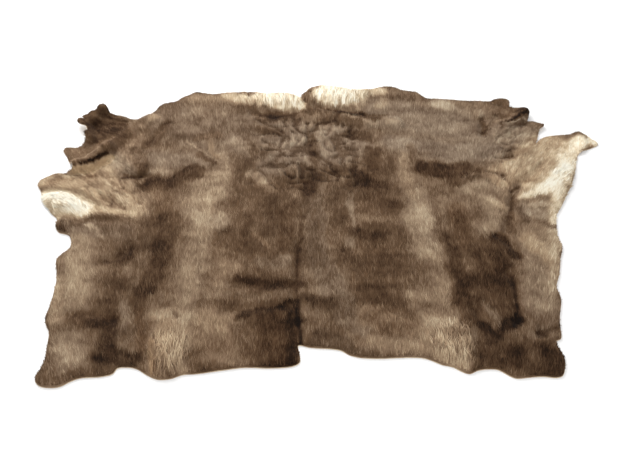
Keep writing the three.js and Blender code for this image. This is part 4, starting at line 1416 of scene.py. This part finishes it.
class Effects:
    """The node groups that more than one finish uses, each built once."""

    TAN_TINT = (255, 226, 190)
    GREY_TINT = (232, 240, 255)
    COAT_STOPS = [
        (0.00, (22, 14, 9)),
        (0.13, (58, 40, 26)),
        (0.32, (99, 77, 57)),
        (0.42, (124, 102, 82)),
        (0.54, (152, 129, 104)),
        (0.72, (192, 171, 142)),
        (0.88, (234, 220, 192)),
        (1.00, (252, 247, 230)),
    ]

    def __init__(self) -> None:
        """Builds the groups."""
        self.coat = self.coat_colour()
        self.grain = self.fine_grain()

    def coat_colour(self) -> bpy.types.NodeTree:
        """Hair colour from a tone, a tint and how far up the hair a place is.

        Returns:
            The group.
        """
        group, sheet = new_group(
            "coat colour",
            {"Place": "NodeSocketVector", "Tone": "NodeSocketFloat", "Tint": "NodeSocketFloat",
             "Along": "NodeSocketFloat", "Chance": "NodeSocketFloat", "Fleck": "NodeSocketFloat"},
            {"Color": "NodeSocketColor"})
        taken = sheet.add("NodeGroupInput").outputs
        broad = sheet.noise(taken["Place"], 22, 3)
        streak = sheet.noise(taken["Place"], 60, 3, (3, 0.8, 1))
        uneven_tone, painted_root_shade, own_place, tinting = 0.16, 0.14, 0.65, 0.9
        uneven = sheet.maths("MULTIPLY", sheet.maths("ADD", broad, streak), uneven_tone)
        own = sheet.maths("MULTIPLY", sheet.maths("SUBTRACT", taken["Chance"], 0.5), taken["Fleck"])
        # Hair darkens towards its roots in painted shade, and lightens a little towards its tip.
        tip = sheet.maths("MULTIPLY", sheet.maths("SUBTRACT", taken["Along"], own_place), painted_root_shade)
        tone = sheet.maths("ADD", sheet.maths("ADD", taken["Tone"], uneven), sheet.maths("ADD", own, tip))
        colour = sheet.ramp(tone, self.COAT_STOPS)
        for tint, strength in ((self.TAN_TINT, tinting), (self.GREY_TINT, -tinting)):
            share = sheet.maths("MULTIPLY", taken["Tint"], strength, clamp=True)
            colour = sheet.tinted(colour, share, tint)
        sheet.feed(sheet.add("NodeGroupOutput").inputs["Color"], colour)
        return group

    @staticmethod
    def fine_grain() -> bpy.types.NodeTree:
        """A fine uneven grain: a mask and a height.

        Returns:
            The group.
        """
        group, sheet = new_group(
            "fine grain",
            {"Place": "NodeSocketVector", "Scale": "NodeSocketFloat"},
            {"Mask": "NodeSocketFloat", "Height": "NodeSocketFloat"})
        taken = sheet.add("NodeGroupInput").outputs
        cells = sheet.add("ShaderNodeTexVoronoi")
        cells.inputs["Detail"].default_value = 1.0
        sheet.feed(cells.inputs["Vector"], taken["Place"])
        sheet.feed(cells.inputs["Scale"], taken["Scale"])
        cloud = sheet.noise(taken["Place"], 35, 5)
        height = sheet.maths("ADD", cells.outputs["Distance"], sheet.maths("MULTIPLY", cloud, 0.7))
        mask = sheet.maths("ADD", sheet.maths("MULTIPLY", cloud, 2.2), 0.5, clamp=True)
        given = sheet.add("NodeGroupOutput").inputs
        sheet.feed(given["Mask"], mask)
        sheet.feed(given["Height"], height)
        return group


@dataclass(frozen=True)
class MattFinish:
    """A matt surface with a fine grain.

    Attributes:
        name: The material's name.
        roughness: How matt it is.
        sheen: The faint light on its tips.
        shine: How strongly it mirrors light.
        bump: How strongly its grain shades, or 0 on hair that has form enough.
        closeness: How many of its grains lie in a metre.
        grain_height: How high they stand, in metres.
    """

    name: str
    roughness: float = 0.85
    sheen: float = 0.02
    shine: float = 0.06
    bump: float = 0.0
    closeness: float = 420.0
    grain_height: float = 0.0015

    def colour(self, sheet: NodeSheet, place: object, effects: Effects) -> object:
        """The surface's colour, from the nodes that each kind of finish places."""
        raise NotImplementedError

    def material(self, effects: Effects) -> bpy.types.Material:
        """Builds the material.

        Args:
            effects: The shared node groups.

        Returns:
            The material.
        """
        made = bpy.data.materials.new(self.name)
        made.use_nodes = True
        sheet = NodeSheet(made.node_tree)
        shader = made.node_tree.nodes["Principled BSDF"]
        place = sheet.add("ShaderNodeTexCoord").outputs["Object"]
        sheet.feed(shader.inputs["Base Color"], self.colour(sheet, place, effects))
        sheet.feed(shader.inputs["Roughness"], self.roughness)
        sheet.feed(shader.inputs["Sheen Weight"], self.sheen)
        sheet.feed(shader.inputs["Specular IOR Level"], self.shine)
        if self.bump:
            grain = sheet.group(effects.grain, place, Scale=self.closeness)
            bump = sheet.add("ShaderNodeBump")
            sheet.feed(bump.inputs["Strength"], self.bump)
            sheet.feed(bump.inputs["Distance"], self.grain_height)
            sheet.feed(bump.inputs["Height"], grain.outputs["Height"])
            sheet.feed(shader.inputs["Normal"], bump.outputs["Normal"])
        return made


@dataclass(frozen=True)
class HairFinish(MattFinish):
    """Matt hair with a faint sheen, in the coat's own tones.

    Attributes:
        fleck: How unlike neighbouring hairs are.
    """

    fleck: float = 0.22

    def colour(self, sheet: NodeSheet, place: object, effects: Effects) -> object:
        """The hair's colour, from the values that each lock carries.

        Args:
            sheet: The sheet that its nodes are placed on.
            place: The socket with the place.
            effects: The shared node groups.

        Returns:
            The colour's socket.
        """
        coat = sheet.group(effects.coat, place, Fleck=self.fleck)
        for label in ("Tone", "Tint", "Along", "Chance"):
            value = sheet.add("ShaderNodeAttribute", attribute_name=label.lower())
            sheet.feed(coat.inputs[label], value.outputs["Fac"])
        return coat.outputs["Color"]


@dataclass(frozen=True)
class SkinFinish(MattFinish):
    """The suede side of a tanned skin.

    Attributes:
        pale: Its colour where it is clean.
        stained: Its colour in its darker clouds.
    """

    roughness: float = 0.88
    sheen: float = 0.15
    shine: float = 0.25
    bump: float = 0.5
    closeness: float = 520.0
    grain_height: float = 0.0006
    pale: tuple[int, int, int] = (206, 184, 152)
    stained: tuple[int, int, int] = (160, 130, 98)

    def colour(self, sheet: NodeSheet, place: object, effects: Effects) -> object:
        """The suede's colour, in soft clouds."""
        grain = sheet.group(effects.grain, place, Scale=self.closeness)
        return sheet.ramp(grain.outputs["Mask"], [(0.15, self.stained), (0.8, self.pale)])


@dataclass
class Skin:
    """The tanned skin: one thin sheet that lies flat and rises on its folds.

    Attributes:
        shape: The hide's form.
        depth: How thick the skin is.
        fine: The spacing of its points near folds.
        coarse: The spacing elsewhere.
        proud: How far its cut edge shows past the coat.
    """

    shape: HideShape
    depth: float = SKIN_DEPTH
    fine: float = 13
    coarse: float = 30
    proud: float = 1

    def build(self, finish: bpy.types.Material) -> bpy.types.Object:
        """Makes the sheet.

        Args:
            finish: Its material.

        Returns:
            The piece.
        """
        flat, faces, rim_count = Cut(self.shape, self.fine, self.coarse).triangles()
        flat[:rim_count] += self.proud * outward(flat[:rim_count])
        under = self.shape.lie(flat)
        top = self.shape.lift(flat, np.full(len(flat), self.depth))
        form = slab_form((flat, faces, rim_count), under, top, {})
        return form.to_object("hide_skin", finish)


@dataclass
class Undercoat:
    """The dense short hair next to the skin, as one closed pile.

    Attributes:
        shape: The hide's form.
        markings: The coat's tones.
        fine: The spacing of its points near creases.
        coarse: The spacing elsewhere.
        foot: How high over the skin's underside it starts.
        share: The share of the coat's depth that it fills.
    """

    shape: HideShape
    markings: Markings
    fine: float = 6.5
    coarse: float = 13
    foot: float = 1.6
    share: float = 0.70

    def build(self, finish: bpy.types.Material) -> bpy.types.Object:
        """Makes the pile.

        Args:
            finish: Its material.

        Returns:
            The piece.
        """
        cut = Cut(self.shape, self.fine, self.coarse).triangles()
        flat = cut[0]
        coat = self.shape.coat(flat)
        under = self.shape.lift(flat, np.full(len(flat), self.foot))
        top = self.shape.lift(flat, np.maximum(self.foot + 1, coat * self.share))
        grid = self.shape.grid
        shown = self.shape.shown(top)
        values = {
            "tone": grid.read(self.markings.tone, shown),
            "tint": grid.read(self.markings.tint, shown),
            "along": np.full(len(flat), 0.5),
            "chance": np.full(len(flat), 0.5),
        }
        return slab_form(cut, under, top, values).to_object("hide_undercoat", finish)


class Bend(Enum):
    """How a lock of hair is formed."""

    STRAIGHT = "straight"
    BENT = "bent"


@dataclass
class Locks:
    """Combed locks of hair, each a thin closed blade that ends in a point.

    Attributes:
        shape: The hide's form.
        markings: The coat's tones.
        seed: Another seed gives other hair.
        bend: Whether the locks are straight or bent over.
        width: A lock's width at its root.
        clump: How far apart the tips of gathered locks lie.
        gather: How far a tip is drawn to its clump's tip, from 0 to 1.
        stray: How far a lock turns aside, in degrees.
        clump_stray: How far a whole clump turns aside, in degrees.
        overhang: How far a tip may lie outside the rim.
        root_share: A root's height as a share of the coat's depth.
        tip_share: A tip's height as a share of the coat's depth.
        strand_width: How far apart strands of like hair lie.
        strand_length: How long they are.
        strand_tone: How unlike they are.
        strand_height: How unevenly high they are, as a share of the coat's depth.
        blend: How far hair of one tone runs into the next along the hair.
    """

    shape: HideShape
    markings: Markings
    seed: int
    bend: Bend = Bend.STRAIGHT
    width: float = 1.7
    clump: float = 11
    gather: float = 0.2
    stray: float = 12
    clump_stray: float = 24
    overhang: float = 4
    root_share: float = 0.5
    tip_share: float = 1.0
    strand_width: float = 3.2
    strand_length: float = 9
    strand_tone: float = 0.15
    strand_height: float = 0.22
    blend: float = 5

    def clump_roots(self, points: np.ndarray) -> tuple[np.ndarray, np.ndarray]:
        """The clump that each root belongs to.

        Args:
            points: The roots in plan.

        Returns:
            The clumps' middles and a random number from 0 to 1 for each.
        """
        cell = np.floor(points / self.clump)
        best = np.full(len(points), np.inf)
        middle = points.copy()
        chance = np.zeros(len(points))
        for i in (-1, 0, 1):
            for j in (-1, 0, 1):
                a, b = cell[:, 0] + i, cell[:, 1] + j
                spot = np.column_stack([a + scatter(a, b, 31), b + scatter(a, b, 32)]) * self.clump
                away = lengths(points - spot)
                closer = away < best
                best = np.where(closer, away, best)
                middle[closer] = spot[closer]
                chance = np.where(closer, scatter(a, b, 33), chance)
        return middle, chance

    def form(self, roots: np.ndarray, reach: np.ndarray) -> Form:
        """Makes the locks of one piece.

        Args:
            roots: Where the locks stand, in plan.
            reach: How far each one reaches in plan.

        Returns:
            The arrays of its mesh.
        """
        uneven_reach, uneven_width, uneven_height, clump_tone = 0.6, 0.5, 0.10, 0.05
        tilt, toned_at = 0.55, 0.65
        number = np.arange(len(roots))
        chance, second, third, fourth = (scatter(number, roots[:, 0], self.seed + n) for n in range(4))
        aside = second + third - 1
        middle, clump_chance = self.clump_roots(roots)
        turn = np.radians(self.clump_stray) * (2 * clump_chance - 1) + np.radians(self.stray) * aside * 2
        reach = reach * (1 + uneven_reach * (fourth - 0.5))
        tips = roots + self.shape.comb.at(roots, turn) * reach[:, None] + (middle - roots) * self.gather
        tips = self.kept_in(roots, tips)
        way = unit(tips - roots)
        width = self.width * (1 + uneven_width * (chance - 0.5))
        side = np.column_stack([way[:, 1], -way[:, 0]]) * (width / 2)[:, None]
        strand = self.shape.comb.streaks(roots, self.strand_width, self.strand_length, seed=61) - 0.5
        uneven = uneven_height * (chance - 0.5) + self.strand_height * strand
        corners = [self.shape.lift(*row) for row in self.rows(roots, tips, side, uneven, chance)]
        up = self.shape.facing(0.5 * (roots + tips))
        lean = tilt * unit(np.column_stack([side, np.zeros(len(roots))]))
        normals = [unit(up + (1 - n % 3) * lean) for n in range(len(corners) - 1)] + [up]
        shown = self.shape.shown((1 - toned_at) * corners[1] + toned_at * corners[-1])
        shown = shown + way * (self.blend * aside)[:, None]
        tone = self.shape.grid.read(self.markings.tone, shown)
        tone = tone + self.strand_tone * strand + clump_tone * (clump_chance - 0.5)
        tint = self.shape.grid.read(self.markings.tint, shown)
        return self.joined(corners, normals, tone, tint, chance)

    def rows(self, roots: np.ndarray, tips: np.ndarray, side: np.ndarray, uneven: np.ndarray,
             chance: np.ndarray) -> list[tuple[np.ndarray, np.ndarray]]:
        """The corners of every lock: three at its root, three more where it bends, and its tip.

        Args:
            roots: The roots in plan.
            tips: The tips in plan.
            side: From each lock's middle to its side, in plan.
            uneven: How much higher each tip is, as a share of the coat's depth.
            chance: A random number for each lock.

        Returns:
            For each corner, its places in plan and its heights over the skin's underside.
        """
        ridge, lowest, bowed, bow_width = 0.55 * self.width, 1.2, 0.05, 0.8
        root_height = np.maximum(lowest, self.shape.coat(roots) * self.root_share)
        rows = [(roots + side, root_height), (roots, root_height + ridge), (roots - side, root_height)]
        if self.bend is Bend.BENT:
            bow = roots + (tips - roots) * 0.5
            height = np.maximum(root_height, self.shape.coat(bow) * (self.tip_share + bowed * chance))
            narrow = side * bow_width
            rows += [(bow + narrow, height - ridge), (bow, height), (bow - narrow, height - ridge)]
        return rows + [(tips, self.shape.coat(tips) * (self.tip_share + uneven))]

    def kept_in(self, roots: np.ndarray, tips: np.ndarray) -> np.ndarray:
        """Shortens the locks whose tips lie too far outside the rim.

        Args:
            roots: The roots in plan.
            tips: The tips in plan.

        Returns:
            The tips, moved back along their locks.
        """
        start, end = self.shape.inside(roots), self.shape.inside(tips)
        over = end < -self.overhang
        share = np.where(over, (start + self.overhang) / np.maximum(start - end, 1e-6), 1)
        return roots + (tips - roots) * np.clip(share, 0.2, 1)[:, None]

    def joined(self, corners: list[np.ndarray], normals: list[np.ndarray], tone: np.ndarray,
               tint: np.ndarray, chance: np.ndarray) -> Form:
        """Joins the locks' corners into one mesh.

        Args:
            corners: The corners of every lock: three at its root, three more where it bends, and its tip.
            normals: A shading direction for each of them.
            tone: A tone for each lock.
            tint: A tint for each lock.
            chance: A random number for each lock.

        Returns:
            The arrays of the mesh.
        """
        count, each = len(tone), len(corners)
        tip = each - 1
        faces = [(0, 1, 2)]
        for low in range(0, tip - 3, 3):
            for n in range(3):
                a, b = low + n, low + (n + 1) % 3
                faces += [(b, a, a + 3), (b, a + 3, b + 3)]
        top = tip - 3
        faces += [(top + (n + 1) % 3, top + n, tip) for n in range(3)]
        first = np.arange(count)[:, None, None] * each
        triangles = (first + np.array(faces)[None]).reshape(-1, 3)
        points = np.stack(corners, axis=1).reshape(-1, 3)
        directions = np.stack(normals, axis=1).reshape(-1, 3)
        steps = np.array([0, 0, 0] + ([0.55] * 3 if self.bend is Bend.BENT else []) + [1.0])
        values = {
            "tone": np.repeat(tone, each),
            "tint": np.repeat(tint, each),
            "along": np.tile(steps, count),
            "chance": np.repeat(chance, each),
        }
        return Form(points, triangles, values, self.layout(np.array(faces), each, count), directions)

    @staticmethod
    def layout(faces: np.ndarray, each: int, count: int) -> np.ndarray:
        """A small square of the finish's layout for each lock.

        Args:
            faces: One lock's faces.
            each: How many corners it has.
            count: How many locks there are.

        Returns:
            A place for each corner of each face.
        """
        place = np.array([[0.1, 0.12], [0.5, 0.04], [0.9, 0.12]])
        if each > 4:
            place = np.concatenate([place, [[0.18, 0.5], [0.5, 0.46], [0.82, 0.5]]])
        place = np.concatenate([place, [[0.5, 0.95]]])
        side = math.ceil(math.sqrt(count))
        number = np.arange(count)
        cell = np.column_stack([number % side, number // side])
        return ((cell[:, None, None, :] + place[faces][None]) / side).reshape(-1, 2)


@dataclass
class Coat:
    """All the hair over the undercoat, as a few pieces of many locks.

    Attributes:
        shape: The hide's form.
        markings: The coat's tones.
        spacing: How far apart the body's locks stand.
        long_spacing: How far apart the long locks stand.
        fringe_spacing: How far apart the rim's locks stand.
        long_coat: Where the coat is deeper than this, long locks stand too.
    """

    shape: HideShape
    markings: Markings
    spacing: float = 3.05
    long_spacing: float = 4.2
    fringe_spacing: float = 2.6
    long_coat: float = 23.5

    def reach(self, points: np.ndarray) -> np.ndarray:
        """How far hair reaches in plan at each point, less where the coat is short.

        Args:
            points: Points in plan.

        Returns:
            A length for each point.
        """
        least, share, long_share, short_coat, full_coat = 3, 0.35, 0.27, 12, 20
        coat = self.shape.coat(points)
        long = np.clip((coat - short_coat) / (full_coat - short_coat), 0, 1)
        return least + coat * (share + long_share * long)

    def roots(self, spacing: float, seed: int) -> np.ndarray:
        """Where locks stand in plan, at a spacing and with a seed."""
        spots, clear = staggered_rows(self.shape.rim, spacing, seed), 1
        return spots[self.shape.inside(spots) > clear]

    def build(self, finish: bpy.types.Material) -> list[bpy.types.Object]:
        """Makes every piece of hair.

        Args:
            finish: The hair's material.

        Returns:
            The pieces.
        """
        spots = self.roots(self.spacing, seed=41)
        pieces = []
        for number, region in enumerate(REGIONS):
            here = spots[(spots[:, 0] >= region["left"]) & (spots[:, 0] < region["right"])]
            locks = Locks(self.shape, self.markings, seed=50 + 5 * number)
            pieces.append(locks.form(here, self.reach(here)).to_object(region["name"], finish))
        return [*pieces, self.long_hair(finish), self.fringe(finish)]

    def long_hair(self, finish: bpy.types.Material) -> bpy.types.Object:
        """Makes the long bent locks of the tail, the tufts and the near clumps.

        Args:
            finish: The hair's material.

        Returns:
            The piece.
        """
        spots = self.roots(self.long_spacing, seed=43)
        spots = spots[self.shape.grid.read(self.shape.depth, spots) > self.long_coat]
        locks = Locks(self.shape, self.markings, seed=80, bend=Bend.BENT, width=2.6, clump=17,
                      overhang=9, root_share=0.45, tip_share=1.02)
        return locks.form(spots, 1.5 * self.reach(spots)).to_object("hide_hair_long", finish)

    def fringe(self, finish: bpy.types.Material) -> bpy.types.Object:
        """Makes the short bent locks that lie over the cut edge.

        Args:
            finish: The hair's material.

        Returns:
            The piece.
        """
        ring = smooth_ring(points_of(OUTLINE), self.fringe_spacing)
        away = outward(ring)
        spots = np.concatenate([ring - away * inset for inset in (1.5, 4)])
        locks = Locks(self.shape, self.markings, seed=90, bend=Bend.BENT, width=1.8, clump=9,
                      overhang=5, root_share=0.6, tip_share=0.6, stray=25)
        return locks.form(spots, 6 + 0.3 * self.reach(spots)).to_object("hide_hair_fringe", finish)


@dataclass
class Studio:
    """The pale floor, the soft light and the camera.

    Attributes:
        camera_distance: From the camera to the plan's origin.
        camera_elevation: The camera's angle over the floor, in degrees.
        focal_pixels: Its focal length in pixels of the image.
        image_width: The image's width in pixels.
        sensor_width: The camera's sensor width.
        floor_side: The floor's side.
        floor_tone: The floor's paleness, from 0 to 1.
        world_light: How strong the even light from all round is.
    """

    camera_distance: float = 2200
    camera_elevation: float = 45
    focal_pixels: float = 800
    image_width: float = 631
    sensor_width: float = 36
    floor_side: float = 9000
    floor_tone: float = 0.93
    world_light: float = 0.60

    def build(self) -> None:
        """Makes them all."""
        self.make_camera()
        self.make_floor()
        self.make_light("key", (-1.0, 1.7, 2.0), side=2.2, power=74)
        self.make_light("fill", (0.5, -1.8, 2.4), side=3.0, power=38)
        world = bpy.data.worlds.new("studio")
        bpy.context.scene.world = world
        world.use_nodes = True
        background = world.node_tree.nodes["Background"]
        background.inputs["Color"].default_value = (1, 1, 1, 1)
        background.inputs["Strength"].default_value = self.world_light
        bpy.context.scene.view_settings.view_transform = "Standard"

    def make_camera(self) -> None:
        """Makes the camera, which looks at the plan's origin."""
        data = bpy.data.cameras.new("camera")
        data.sensor_width = self.sensor_width
        data.lens = self.focal_pixels * self.sensor_width / self.image_width
        camera = bpy.data.objects.new("camera", data)
        bpy.context.scene.collection.objects.link(camera)
        angle = math.radians(self.camera_elevation)
        back = Vector((0, -math.cos(angle), math.sin(angle)))
        aim = Vector((-PLAN_MIDDLE[0], -PLAN_MIDDLE[1], 0)) * MM
        camera.location = aim + back * self.camera_distance * MM
        camera.rotation_euler = (math.pi / 2 - angle, 0, 0)
        bpy.context.scene.camera = camera

    def make_floor(self) -> None:
        """Makes the floor, just under the hide."""
        half, under = self.floor_side * MM / 2, -MM / 2
        mesh = bpy.data.meshes.new("floor")
        corners = [(half * i, half * j, under) for i, j in ((-1, -1), (1, -1), (1, 1), (-1, 1))]
        mesh.from_pydata(corners, [], [(0, 1, 2, 3)])
        paint = bpy.data.materials.new("white floor")
        paint.use_nodes = True
        shader = paint.node_tree.nodes["Principled BSDF"]
        shader.inputs["Base Color"].default_value = (*[self.floor_tone] * 3, 1)
        shader.inputs["Roughness"].default_value = 0.9
        mesh.materials.append(paint)
        floor = bpy.data.objects.new("floor", mesh)
        bpy.context.scene.collection.objects.link(floor)

    @staticmethod
    def make_light(name: str, place: tuple[float, float, float], side: float, power: float) -> None:
        """Makes one soft square light that points at the hide.

        Args:
            name: Its name.
            place: Where it stands, in metres.
            side: Its side, in metres.
            power: Its power, in watts.
        """
        data = bpy.data.lights.new(name, "AREA")
        data.size = side
        data.energy = power
        light = bpy.data.objects.new(name, data)
        light.location = place
        light.rotation_euler = Vector(place).to_track_quat("Z", "Y").to_euler()
        bpy.context.scene.collection.objects.link(light)


def main() -> None:
    """Builds the stage and the hide, and declares its pieces."""
    logging.basicConfig(level=logging.INFO, format="%(message)s")
    Studio().build()
    shape = HideShape()
    markings = Markings(shape)
    effects = Effects()
    hair = HairFinish("coat hair").material(effects)
    pile = HairFinish("undercoat hair", fleck=0.0, bump=0.6).material(effects)
    suede = SkinFinish("tanned skin").material(effects)
    skin_part = Skin(shape)
    skin = skin_part.build(suede)
    undercoat = Undercoat(shape, markings).build(pile)
    locks = Coat(shape, markings).build(hair)
    for piece in (skin, undercoat, *locks):
        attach(piece, "root")
    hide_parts("hide")


if __name__ == "__main__":
    main()
